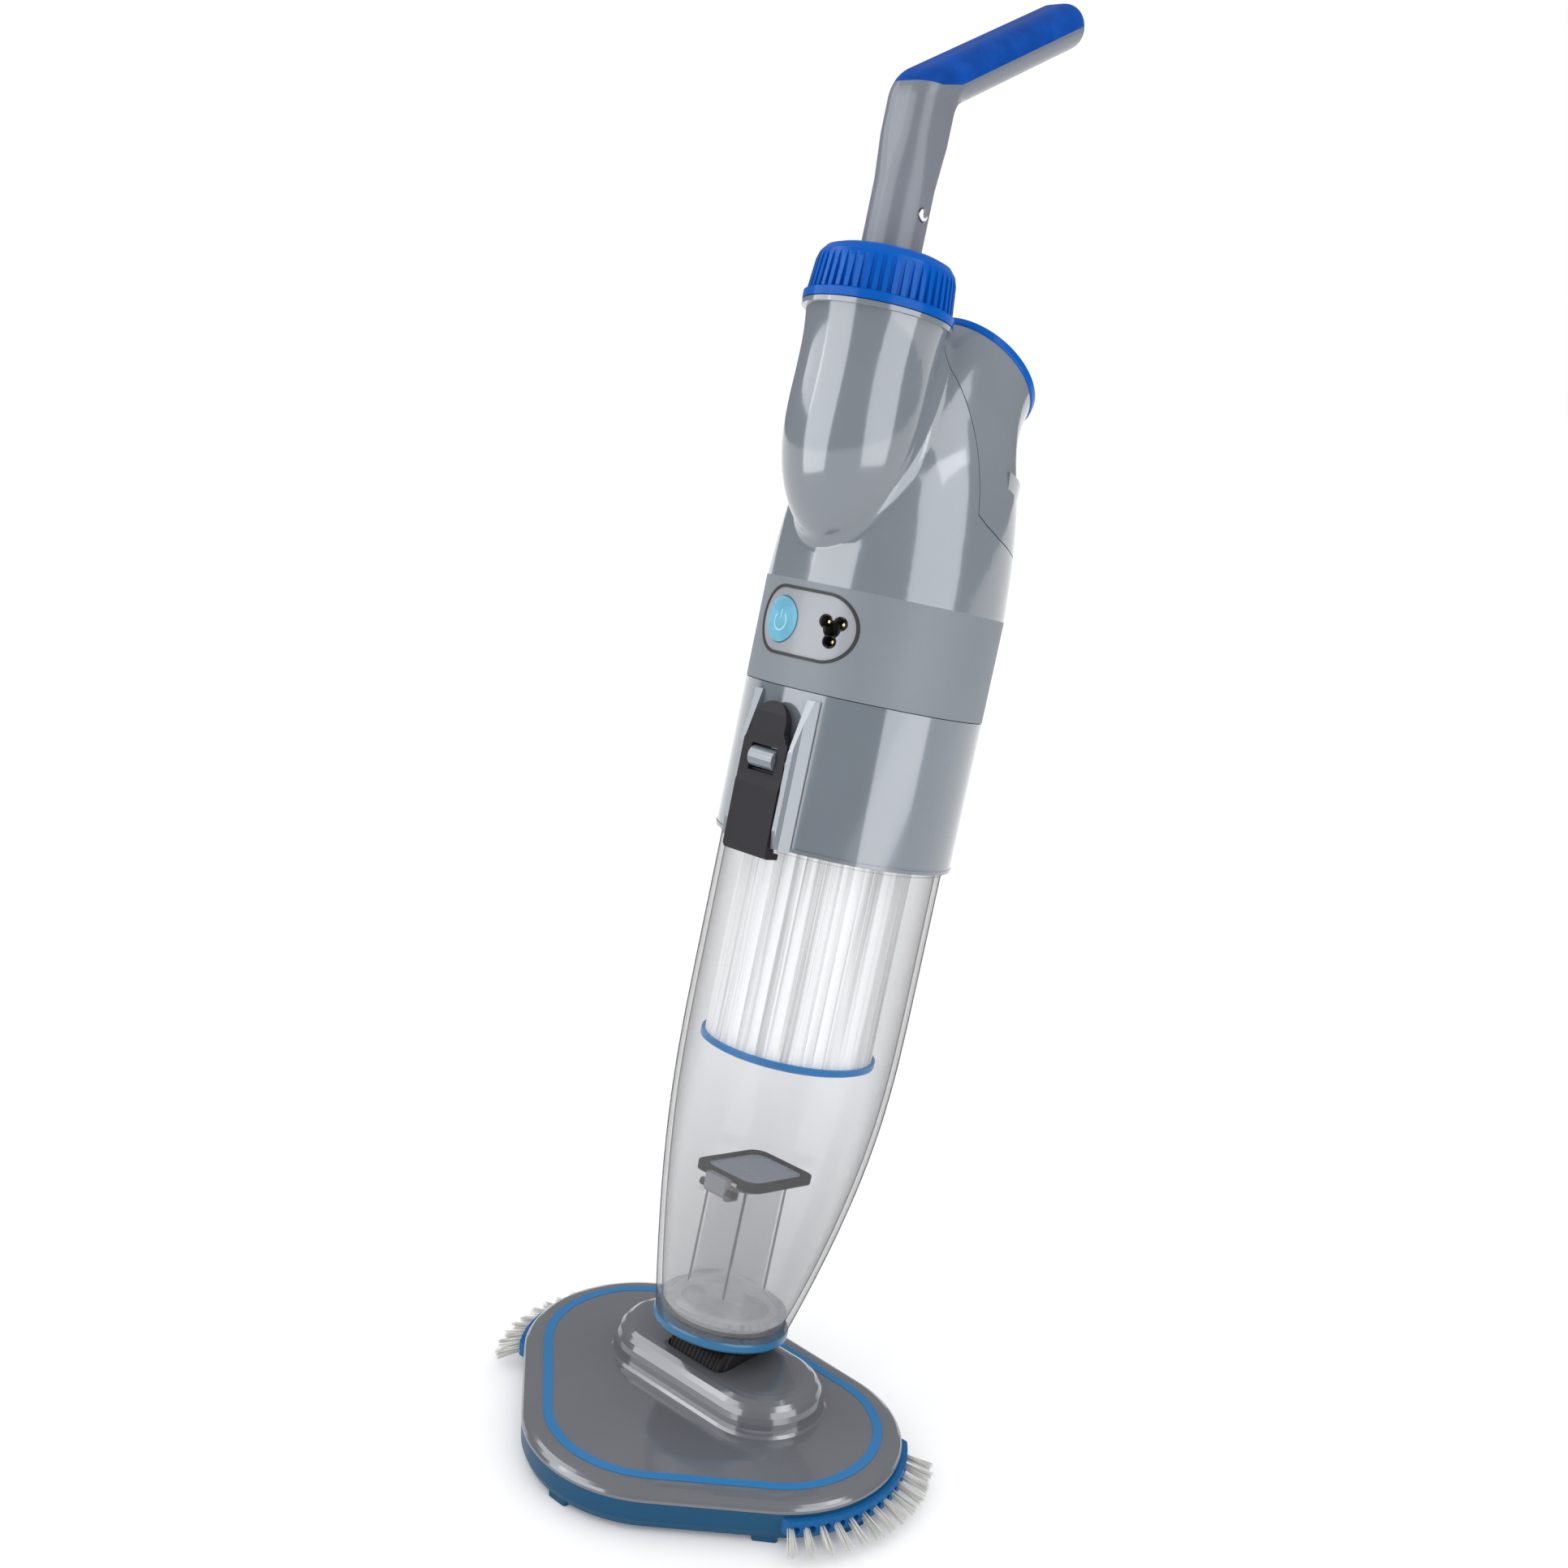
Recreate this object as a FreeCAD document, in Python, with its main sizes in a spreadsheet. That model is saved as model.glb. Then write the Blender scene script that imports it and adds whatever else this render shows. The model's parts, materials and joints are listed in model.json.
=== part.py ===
"""Cordless hand-held pool and spa vacuum cleaner.

The origin lies on the floor under the middle of the floor head, +Z is up, -Y is the front with the latch and the
control panel, and X runs along the head's long side. The wand stands on the head's neck pivot and leans back.
Lengths are in millimetres and angles in degrees.
"""
import FreeCAD, Part
import math
import os

import Sketcher

V = FreeCAD.Vector
doc = FreeCAD.newDocument("PoolVacuum")
sheet = doc.addObject("Spreadsheet::Sheet", "Sizes")

SIZES = [
    # posture of the wand on the head
    ("lean", 11.3), ("pivot_y", 11.2), ("pivot_z", 30.0),
    # floor head: outline of the blue stripe in plan, four blending arcs
    ("nose_y", 94.0), ("nose_r", 60.0), ("lobe_x", 52.0), ("lobe_r", 52.0), ("back_y", 54.0),
    ("rim_out", 13.5), ("rim_z", 17.5), ("plateau_z", 23.3), ("crown", 1.2), ("shoulder", 11.0), ("shell_wall", 3.0),
    ("skirt_out", 13.2), ("skirt_z", 3.0), ("skirt_toe", 1.6), ("skirt_wall", 3.0),
    ("foot_length", 13.0), ("foot_width", 5.0),
    ("mouth_length", 120.0), ("mouth_width", 20.0), ("mouth_front", 30.0),
    ("hump_half", 34.0), ("hump_foot_r", 32.5), ("hump_z", 42.0), ("hump_y", 6.5),
    ("hump_shoulder", 14.0), ("hump_flare", 5.0),
    ("stripe_width", 5.0), ("stripe_depth", 1.2), ("stripe_proud", 0.4),
    ("strip_low_z", 7.5), ("strip_high_z", 15.5), ("strip_depth", 3.4), ("strip_front_y", 46.0),
    ("strip_back_y", 48.0),
    ("tuft_count", 13), ("tuft_length", 17.0), ("tuft_root_r", 1.8), ("tuft_tip_r", 3.2), ("tuft_droop", 19.0),
    ("head_screw_r", 1.6), ("head_screw_head_r", 3.2),
    # neck knuckle
    ("drum_r", 27.0), ("drum_half", 20.5), ("drum_round", 5.0), ("slot_gap", 0.6), ("cheek", 3.5), ("neck_pin_r", 4.0),
    ("pin_fit", 0.06), ("neck_bore_r", 11.0), ("bowl_lift", 2.0), ("ring_low", 23.5), ("ring_high", 28.5),
    ("neck_r", 36.3), ("neck_front", 9.5),
    # clear debris chamber
    ("chamber_r", 59.0), ("chamber_wall", 3.0), ("chamber_top", 330.0),
    ("duct_half", 13.8), ("duct_depth", 34.6), ("duct_y", 10.7), ("duct_wall", 1.8), ("duct_top", 107.0),
    ("flap_half", 22.0), ("flap_depth", 53.0), ("flap_thick", 1.6), ("flap_rim", 4.2),
    # filter cartridge
    ("filter_r", 46.0), ("filter_low", 176.5), ("filter_rim", 4.6), ("pleat_depth", 7.0), ("pleat_count", 48),
    ("core_r", 30.0), ("core_wall", 2.0),
    # motor housing
    ("house_r", 62.8), ("house_wall", 2.5), ("skirt_low", 289.5), ("seam_low", 369.0), ("seam_high", 422.0),
    ("bulkhead", 333.0), ("bulkhead_thick", 4.0), ("inlet_r", 16.0), ("seam_gap", 0.45),
    ("pump_r", 48.0), ("pump_height", 25.0), ("pump_wall", 2.4), ("impeller_r", 30.0), ("blade_count", 7),
    ("blade_height", 9.0), ("shaft_r", 2.0), ("shaft_fit", 0.05), ("motor_r", 16.0), ("motor_length", 52.0),
    ("pipe_r", 13.5), ("pipe_wall", 2.0), ("pipe_y", 33.0), ("pipe_bend", 452.0),
    ("cell_r", 9.1), ("cell_length", 65.0), ("cell_pitch", 19.0), ("cell_y", 36.0),
    # control panel on the band
    ("panel_z", 401.0), ("panel_half", 31.8), ("panel_high", 17.5), ("panel_line", 1.5),
    ("button_x", 13.7), ("button_r", 11.6), ("button_gap", 0.35), ("port_x", 18.5), ("port_lobe", 4.4),
    ("port_wall", 1.0), ("port_deep", 6.2),
    # pole socket and collar
    ("pole_y", 53.0), ("pole_r", 15.0), ("pole_fit", 0.3), ("bullet_r", 35.6), ("bullet_low", 440.0),
    ("bullet_nose", 60.0), ("collar_low", 555.5), ("collar_height", 29.0), ("collar_r", 36.2), ("thread_r", 31.0),
    ("collet_wall", 4.6), ("rib_count", 48), ("rib_cut", 0.8),
    # outlet chimney on the rear cover
    ("mouth_y", 35.0), ("mouth_rise", 127.0), ("blend_r", 9.0), ("mouth_r", 36.5), ("mouth_tilt", 36.5), ("mouth_ring", 5.5),
    # latch
    ("latch_half", 14.5), ("latch_low", 283.5), ("latch_high", 361.0), ("latch_pin_h", 332.0),
    ("latch_pin_r", 2.5), ("latch_thick", 6.0), ("rail_thick", 2.6), ("rail_root", 6.5), ("knob_half", 11.0),
    ("window_half", 8.6), ("window_gap", 0.7), ("hinge_r", 5.4), ("pin_depth", 1.6),
    # handle
    ("tube_low", 492.0), ("tube_wall", 2.4), ("leg_length", 79.5), ("grip_rise", 35.0), ("elbow_outer", 20.0),
    ("elbow_inner", 11.0), ("grip_length", 126.0),
    ("grip_width", 29.0), ("grip_thick", 22.5), ("pad_thick", 3.0), ("snap_rise", 20.0), ("snap_r", 3.0),
    ("snap_travel", 3.0), ("snap_arm", 48.0),
]
for row, (alias, number) in enumerate(SIZES, start=1):
    sheet.set("A%d" % row, alias)
    sheet.set("B%d" % row, str(number))
    sheet.setAlias("B%d" % row, alias)
doc.recompute()


class Dim:
    """A size from the sheet, or a sum or product of sizes, with the formula that binds it."""

    def __init__(self, number, formula):
        self.number = number
        self.formula = formula

    def __float__(self):
        return float(self.number)

    def join(self, other, sign, number, swap=False):
        """A new size made of this one and another, or a plain number."""
        text = other.formula if isinstance(other, Dim) else repr(float(other))
        left, right = (text, self.formula) if swap else (self.formula, text)
        return Dim(number, "(%s %s %s)" % (left, sign, right))

    def __add__(self, other):
        return self.join(other, "+", float(self) + float(other))

    def __radd__(self, other):
        return self.join(other, "+", float(self) + float(other), True)

    def __sub__(self, other):
        return self.join(other, "-", float(self) - float(other))

    def __rsub__(self, other):
        return self.join(other, "-", float(other) - float(self), True)

    def __mul__(self, other):
        return self.join(other, "*", float(self) * float(other))

    def __rmul__(self, other):
        return self.join(other, "*", float(self) * float(other), True)

    def __truediv__(self, other):
        return self.join(other, "/", float(self) / float(other))

    def __neg__(self):
        return Dim(-float(self), "(0 - %s)" % self.formula)


class Sheet:
    """Reads a size of the sheet as an attribute."""

    def __getattr__(self, alias):
        return Dim(float(sheet.get(alias)), "Sizes." + alias)


D = Sheet()
WORLD = FreeCAD.Placement()
WAND = FreeCAD.Placement(
    V(0, float(D.pivot_y), float(D.pivot_z)), FreeCAD.Rotation(V(1, 0, 0), -float(D.lean))
)
PARTS = []


def shift(x=0.0, y=0.0, z=0.0, axis=V(0, 0, 1), angle=0.0):
    """A placement that turns about axis and then moves."""
    return FreeCAD.Placement(V(float(x), float(y), float(z)), FreeCAD.Rotation(axis, float(angle)))


def keep(item, name, place):
    """Names a finished sub-part, sets where it stands and puts it on the list to write."""
    item.Label = name
    item.Placement = place
    PARTS.append(item)
    return item


# ---------------------------------------------------------------- PartDesign helpers


def origin_item(body, role):
    """The plane or axis of a body's own origin with that role."""
    return next(f for f in body.Origin.OriginFeatures if f.Role == role)


def new_body(name):
    """An empty body."""
    return doc.addObject("PartDesign::Body", name + "_body")


def bind(item, path, size):
    """Ties a property to the sheet."""
    if isinstance(size, Dim):
        item.setExpression(path, size.formula)


def new_sketch(body, role, lift=0.0):
    """A sketch on an origin plane of the body, lifted off it by a size."""
    sketch = body.newObject("Sketcher::SketchObject", "Sketch")
    sketch.AttachmentSupport = (origin_item(body, role), [""])
    sketch.MapMode = "FlatFace"
    sketch.AttachmentOffset = FreeCAD.Placement(V(0, 0, float(lift)), FreeCAD.Rotation())
    bind(sketch, "AttachmentOffset.Base.z", lift)
    return sketch


def fix_point(sketch, edge, end, x, y):
    """Ties one point of a sketch to two sizes measured from the sketch's origin."""
    for kind, size in (("DistanceX", x), ("DistanceY", y)):
        index = sketch.addConstraint(Sketcher.Constraint(kind, -1, 1, edge, end, float(size)))
        bind(sketch, "Constraints[%d]" % index, size)


def polygon(body, role, corners, lift=0.0):
    """A closed sketch of straight lines through the corners."""
    sketch = new_sketch(body, role, lift)
    count = len(corners)
    flat = [V(float(x), float(y), 0) for x, y in corners]
    for i in range(count):
        sketch.addGeometry(Part.LineSegment(flat[i], flat[(i + 1) % count]), False)
    for i in range(count):
        sketch.addConstraint(Sketcher.Constraint("Coincident", i, 2, (i + 1) % count, 1))
    for i, (x, y) in enumerate(corners):
        fix_point(sketch, i, 1, x, y)
    return sketch


def circles(body, role, rings, lift=0.0):
    """A sketch of circles, each given as centre x, centre y and radius."""
    sketch = new_sketch(body, role, lift)
    for i, (x, y, r) in enumerate(rings):
        sketch.addGeometry(Part.Circle(V(float(x), float(y), 0), V(0, 0, 1), float(r)), False)
        index = sketch.addConstraint(Sketcher.Constraint("Radius", i, float(r)))
        bind(sketch, "Constraints[%d]" % index, r)
        fix_point(sketch, i, 3, x, y)
    return sketch


def feature(body, kind, sketch, **settings):
    """A feature on a sketch; sizes among its settings are tied to the sheet."""
    item = body.newObject("PartDesign::" + kind, kind)
    item.Profile = sketch
    for path, value in settings.items():
        setattr(item, path, float(value) if isinstance(value, Dim) else value)
        bind(item, path, value)
    doc.recompute()
    return item


def revolve(body, corners, kind="Revolution"):
    """Turns a profile of (radius, height) corners about the body's Z axis."""
    sketch = polygon(body, "XZ_Plane", corners)
    return feature(body, kind, sketch, ReferenceAxis=(sketch, ["V_Axis"]), Angle=360.0)


def polar(body, items, count):
    """Repeats features round the body's Z axis."""
    pattern = body.newObject("PartDesign::PolarPattern", "PolarPattern")
    pattern.Originals = items
    pattern.Axis = (origin_item(body, "Z_Axis"), [""])
    pattern.Angle = 360.0
    pattern.Occurrences = int(float(count))
    bind(pattern, "Occurrences", count)
    body.Tip = pattern
    doc.recompute()
    return pattern


def turned(name, corners, place):
    """A sub-part that is one turned profile."""
    body = new_body(name)
    revolve(body, corners)
    return keep(body, name, place)


# ---------------------------------------------------------------- Part helpers


def primitive(kind, name, place, **sizes):
    """A Part primitive with its sizes tied to the sheet."""
    item = doc.addObject("Part::" + kind, name)
    for path, size in sizes.items():
        setattr(item, path, float(size))
        bind(item, path, size)
    item.Placement = place
    return item


def formed(name, shape, place):
    """A sub-part whose shape is worked out below from the sheet's sizes."""
    item = doc.addObject("Part::Feature", name)
    item.Shape = shape
    return keep(item, name, place)


def cylinder(radius, height, base=V(0, 0, 0), axis=V(0, 0, 1)):
    """A cylinder shape."""
    return Part.makeCylinder(float(radius), float(height), base, axis)


def tube(outer, inner, low, high, y=0.0):
    """A round tube between two heights."""
    base = V(0, float(y), float(low))
    height = float(high) - float(low)
    return cylinder(outer, height, base).cut(cylinder(inner, height, base))


def block(x_low, x_high, y_low, y_high, z_low, z_high):
    """A box between two corners."""
    low = V(float(x_low), float(y_low), float(z_low))
    return Part.makeBox(
        float(x_high) - low.x, float(y_high) - low.y, float(z_high) - low.z, low
    )


def prism(points, half, middle=0.0):
    """A side-view polygon of (y, z) points, as thick as 2 * half about x = middle."""
    wire = Part.makePolygon([V(float(middle) - float(half), float(y), float(z)) for y, z in points + points[:1]])
    return Part.Face(wire).extrude(V(2 * float(half), 0, 0))


def ring_wire(x, y, z, radius, tilt=0.0):
    """A circle whose normal leans from +Z towards +Y by tilt."""
    normal = V(0, math.sin(math.radians(tilt)), math.cos(math.radians(tilt)))
    circle = Part.Circle(V(float(x), float(y), float(z)), normal, float(radius))
    circle.XAxis = V(1, 0, 0)
    return Part.Wire(circle.toShape())


def rounded_wire(middle, across, along, width, depth, corner):
    """A rounded rectangle about middle, width along across and depth along along."""
    w, d = width / 2 - corner, depth / 2 - corner
    points = []
    for sx, sy, turn in ((1, 1, 0), (-1, 1, 90), (-1, -1, 180), (1, -1, 270)):
        for angle in (turn, turn + 45, turn + 90):
            a = math.radians(angle)
            points.append(
                middle
                + across * (sx * w + corner * math.cos(a))
                + along * (sy * d + corner * math.sin(a))
            )
    edges = []
    for k in range(4):
        first, mid, last = points[3 * k : 3 * k + 3]
        edges.append(Part.Arc(first, mid, last).toShape())
        edges.append(Part.LineSegment(last, points[(3 * k + 3) % 12]).toShape())
    return Part.Wire(edges)


def loft(wires, ruled=False):
    """A closed solid through the wires."""
    return Part.makeLoft(wires, True, ruled)


def stadium(half, radius, y, z):
    """A stadium along X in plan."""
    half, radius, y, z = float(half), float(radius), float(y), float(z)
    right = Part.Arc(V(half, y - radius, z), V(half + radius, y, z), V(half, y + radius, z))
    left = Part.Arc(V(-half, y + radius, z), V(-half - radius, y, z), V(-half, y - radius, z))
    back = Part.LineSegment(V(half, y + radius, z), V(-half, y + radius, z))
    front = Part.LineSegment(V(-half, y - radius, z), V(half, y - radius, z))
    return Part.Wire([right.toShape(), back.toShape(), left.toShape(), front.toShape()])


# heights on the wand that follow from the collar and the band
COLLAR_TOP = float(D.collar_low) + float(D.collar_height)
SNAP_H = COLLAR_TOP + float(D.snap_rise)
ELBOW_H = COLLAR_TOP + float(D.leg_length)
MOUTH_H = float(D.seam_high) + float(D.mouth_rise)

# ---------------------------------------------------------------- floor head

NOSE_Y = -float(D.nose_y) + float(D.nose_r)
BACK_Y = float(D.back_y) - float(D.nose_r)
PLAN = [
    (V(0, NOSE_Y, 0), float(D.nose_r)),
    (V(float(D.lobe_x), 0, 0), float(D.lobe_r)),
    (V(0, BACK_Y, 0), float(D.nose_r)),
    (V(-float(D.lobe_x), 0, 0), float(D.lobe_r)),
]


def outward(first, second):
    """Outward normal of the line that touches two of the plan's arcs."""
    (c1, r1), (c2, r2) = first, second
    along = (c2 - c1).normalize()
    share = (r1 - r2) / c1.distanceToPoint(c2)
    return along * share + V(along.y, -along.x, 0) * math.sqrt(1 - share * share)


def outline(out, z):
    """The head's plan outline, moved out from the stripe's middle line, at height z."""
    out, z = float(out), float(z)
    normals = [outward(PLAN[i], PLAN[(i + 1) % 4]) for i in range(4)]
    edges = []
    for i, (centre, radius) in enumerate(PLAN):
        before, after = normals[i - 1], normals[i]
        middle = (before + after).normalize()
        reach = radius + out
        first, mid, last = (centre + n * reach + V(0, 0, z) for n in (before, middle, after))
        edges.append(Part.Arc(first, mid, last).toShape())
        following, reach_next = PLAN[(i + 1) % 4][0], PLAN[(i + 1) % 4][1] + out
        edges.append(Part.LineSegment(last, following + after * reach_next + V(0, 0, z)).toShape())
    return Part.Wire(edges)


def slab(out, low, high):
    """A straight-sided plate with the head's outline."""
    return Part.Face(outline(out, low)).extrude(V(0, 0, float(high) - float(low)))


def arch(steps):
    """Shares of run and rise along a quarter ellipse, from its foot to its crest."""
    turns = [math.pi / 2 * k / steps for k in range(steps + 1)]
    return [(1 - math.cos(a), math.sin(a)) for a in turns]


def shell_form():
    """The top shell's outer form: a rounded shoulder and a faintly crowned top."""
    rim, low, top = float(D.rim_out), float(D.rim_z), float(D.plateau_z)
    wires = [outline(rim - float(D.shoulder) * run, low + (top - low) * rise) for run, rise in arch(7)]
    for back, lift in ((20.0, 0.3), (30.0, 0.7), (44.0, 1.0)):
        wires.append(outline(rim - back, top + float(D.crown) * lift))
    return loft(wires, True)


def hump_form(inset):
    """The raised hump round the neck with its hollow foot, or its cavity when inset by the wall."""
    foot, low, high = float(D.hump_foot_r) - inset, float(D.plateau_z) - inset, float(D.hump_z) - inset
    shoulder, flare = float(D.hump_shoulder), float(D.hump_flare)
    wires = []
    for turn in (0, 30, 60):
        a = math.radians(turn)
        out, up = foot + flare * (1 - math.sin(a)), low + flare * (1 - math.cos(a))
        wires.append(stadium(D.hump_half, out, D.hump_y, up))
    for run, rise in arch(7):
        up = low + flare + (high - low - flare) * rise
        wires.append(stadium(D.hump_half, foot - shoulder * run, D.hump_y, up))
    return loft(wires, True)


SLOT_R = float(D.drum_r) + float(D.slot_gap)
SLOT_FRONT = float(D.pivot_y) - SLOT_R
SLOT_BACK = float(D.hump_y) + float(D.hump_foot_r) + 4.0
SLOT_HALF = float(D.drum_half) + float(D.slot_gap)
SCREW_SPOTS = [(78, 22), (-78, 22), (78, -22), (-78, -22), (0, -78), (44, 48), (-44, 48)]


def neck_drum(radius, half):
    """A drum on the neck's pivot line with rounded rims."""
    drum = cylinder(radius, 2 * half, V(-half, 0, 0), V(1, 0, 0))
    return drum.makeFillet(float(D.drum_round), [e for e in drum.Edges if e.BoundBox.XLength < 0.001])


def head_shell():
    """Grey top shell with its hump, neck slot with cheeks, stripe groove and screw bosses."""
    wall, rim = float(D.shell_wall), float(D.rim_out)
    low = float(D.rim_z)
    outer = shell_form().fuse(hump_form(0.0))
    hollow = slab(rim - wall - 1.5, low - 1, low + 2.8).fuse(hump_form(wall))
    shell = outer.cut(hollow).fuse(ring_lip(rim - float(D.skirt_wall) - 0.6, 1.8, low - 4.0, low + 2.8))
    room = outer.fuse(slab(rim - 8.0, 12.0, low + 0.5))
    slot_top = float(D.hump_z) + 5
    inner, outside = SLOT_HALF, SLOT_HALF + float(D.cheek)
    walls = block(-outside, -inner, SLOT_FRONT - 3, SLOT_BACK - 6, 14, slot_top)
    walls = walls.fuse(block(inner, outside, SLOT_FRONT - 3, SLOT_BACK - 6, 14, slot_top))
    walls = walls.fuse(block(-outside, outside, SLOT_FRONT - 3, SLOT_FRONT, 18, slot_top))
    for x, y in SCREW_SPOTS:
        walls = walls.fuse(cylinder(4.5, 40.0, V(x, y, float(D.skirt_z) + 9.0)))
    shell = shell.fuse(walls.common(room))
    cutter = neck_drum(SLOT_R, inner)
    cutter.translate(V(0, float(D.pivot_y), float(D.pivot_z)))
    cutter = cutter.fuse(block(-inner, inner, float(D.pivot_y) + 6.0, SLOT_BACK, 0, 80))
    cutter = cutter.fuse(block(-inner, inner, SLOT_FRONT, SLOT_BACK, 0, float(D.rim_z) - 1.0))
    for x, y in SCREW_SPOTS:
        cutter = cutter.fuse(cylinder(D.head_screw_r, 9.0, V(x, y, float(D.skirt_z) + 8.0)))
    pin_base = V(-outside - 1, float(D.pivot_y), float(D.pivot_z))
    cutter = cutter.fuse(cylinder(D.neck_pin_r, 2 * outside + 2, pin_base, V(1, 0, 0)))
    shell = shell.cut(cutter)
    shell = shell.cut(stripe_form(0.0, float(D.plateau_z) - float(D.stripe_depth), float(D.plateau_z) + 5))
    return shell.removeSplitter()


def ring_lip(out, wide, low, high):
    """A lip that follows the head's outline."""
    return slab(out, low, high).cut(slab(out - wide, low, high))


def stripe_form(gap, low, high):
    """The loop of the blue stripe between two heights."""
    half = float(D.stripe_width) / 2 - gap
    return slab(half, low, high).cut(slab(-half, low, high))


formed("head_shell", head_shell(), WORLD)
formed(
    "head_stripe",
    stripe_form(0.0, float(D.plateau_z) - float(D.stripe_depth), float(D.plateau_z) + float(D.stripe_proud)),
    WORLD,
)


def foot_spots():
    """Places and headings of the feet under the skirt: nose, flanks, lobes and back."""
    reach = float(D.skirt_out) - float(D.skirt_toe) - float(D.foot_width) / 2
    spots = []
    for index, bearing in ((0, -90), (1, -52), (1, -8), (1, 52), (2, 90), (3, 128), (3, 188), (3, 232)):
        centre, radius = PLAN[index]
        a = math.radians(bearing)
        spots.append((centre + V(math.cos(a), math.sin(a), 0) * (radius + reach), bearing))
    return spots


def head_base():
    """Blue skirt tray with its feet, suction mouth and screw posts."""
    out, low, top = float(D.skirt_out), float(D.skirt_z), float(D.rim_z)
    wall, toe = float(D.skirt_wall), float(D.skirt_toe)
    outer = slab(out, low + 4, top).fuse(loft([outline(out - toe, low), outline(out, low + 4)], True))
    tray = outer.cut(slab(out - wall, low + wall, top + 1))
    for x, y in SCREW_SPOTS:
        post = cylinder(4.5, 9.0 - wall / 2, V(x, y, low + wall / 2))
        tray = tray.fuse(post)
    for spot, bearing in foot_spots():
        foot = block(
            -float(D.foot_width) / 2, float(D.foot_width) / 2,
            -float(D.foot_length) / 2, float(D.foot_length) / 2, -low, 1.0,
        )
        foot = foot.makeFillet(1.6, [e for e in foot.Edges if abs(e.tangentAt(e.FirstParameter).z) > 0.9])
        foot.Placement = shift(spot.x, spot.y, low, angle=bearing)
        tray = tray.fuse(foot)
    half, width = float(D.mouth_length) / 2, float(D.mouth_width)
    y_low = -float(D.mouth_front) - width
    tray = tray.cut(stadium_cut(half - width / 2, width / 2, y_low + width / 2, low - 1, low + wall + 1))
    for x, y in SCREW_SPOTS:
        tray = tray.cut(cylinder(D.head_screw_r, 30.0, V(x, y, 0)))
        tray = tray.cut(cylinder(D.head_screw_head_r, 4.0, V(x, y, low - 0.5)))
    return tray.removeSplitter()


def stadium_cut(half, radius, y, low, high):
    """A stadium along X between two heights."""
    return Part.Face(stadium(half, radius, y, low)).extrude(V(0, 0, high - low))


formed("head_base", head_base(), WORLD)


def head_screws():
    """Countersunk screws that hold the skirt to the shell from below."""
    low = float(D.skirt_z)
    screws = []
    for x, y in SCREW_SPOTS:
        shank = cylinder(D.head_screw_r, 13.0, V(x, y, low + 1.6))
        head = cylinder(D.head_screw_head_r, 1.9, V(x, y, low + 1.6))
        slot = block(x - 0.4, x + 0.4, y - 2.2, y + 2.2, low + 1, low + 2.4)
        screws.append(head.fuse(shank).cut(slot))
    return Part.makeCompound(screws)


formed("head_screws", head_screws(), WORLD)


def strip_region(side):
    """The side of the head that carries a brush strip."""
    low, high = float(D.strip_low_z), float(D.strip_high_z)
    x_in, x_out = float(D.lobe_x), float(D.lobe_x) + float(D.lobe_r) + 40
    return block(
        min(side * x_in, side * x_out), max(side * x_in, side * x_out),
        -D.strip_front_y, D.strip_back_y, low, high,
    )


def tuft_lines():
    """Root point and heading in plan of each tuft on the right-hand side."""
    centre, radius = PLAN[1]
    reach = radius + float(D.skirt_out) + float(D.strip_depth) - 2.0
    first = math.degrees(math.asin(-(float(D.strip_front_y) - 4.0) / reach))
    last = math.degrees(math.asin((float(D.strip_back_y) - 4.0) / reach))
    count = int(float(D.tuft_count))
    middle_z = (float(D.strip_low_z) + float(D.strip_high_z)) / 2
    lines = []
    for k in range(count):
        a = math.radians(first + (last - first) * k / (count - 1))
        heading = V(math.cos(a), math.sin(a), 0)
        lines.append((centre + heading * reach + V(0, 0, middle_z), heading))
    return lines


def tufts(side):
    """One row of bristle tufts that fan out and droop to the floor."""
    droop = math.radians(float(D.tuft_droop))
    rows = []
    for root, heading in tuft_lines():
        aim = heading * math.cos(droop) - V(0, 0, math.sin(droop))
        root, aim = V(side * root.x, root.y, root.z), V(side * aim.x, aim.y, aim.z)
        rows.append(Part.makeCone(float(D.tuft_root_r), float(D.tuft_tip_r), float(D.tuft_length), root, aim))
    return rows


for side, word in ((-1, "left"), (1, "right")):
    row = tufts(side)
    strip = slab(float(D.skirt_out) + float(D.strip_depth), D.strip_low_z, D.strip_high_z)
    strip = strip.cut(slab(D.skirt_out, D.strip_low_z, D.strip_high_z)).common(strip_region(side))
    for tuft in row:
        strip = strip.cut(tuft)
    formed("brush_strip_" + word, strip, WORLD)
    formed("bristles_" + word, Part.makeCompound(row), WORLD)

# steel pins of the neck pivot, pressed into the cheeks
PIN_LENGTH = float(D.cheek) + 8.6
pins = [
    cylinder(D.neck_pin_r, PIN_LENGTH, V(x, float(D.pivot_y), float(D.pivot_z)), V(1, 0, 0))
    for x in (-SLOT_HALF - float(D.cheek), SLOT_HALF + float(D.cheek) - PIN_LENGTH)
]
formed("neck_pins", Part.makeCompound(pins), WORLD)

# ---------------------------------------------------------------- neck and debris chamber


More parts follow.
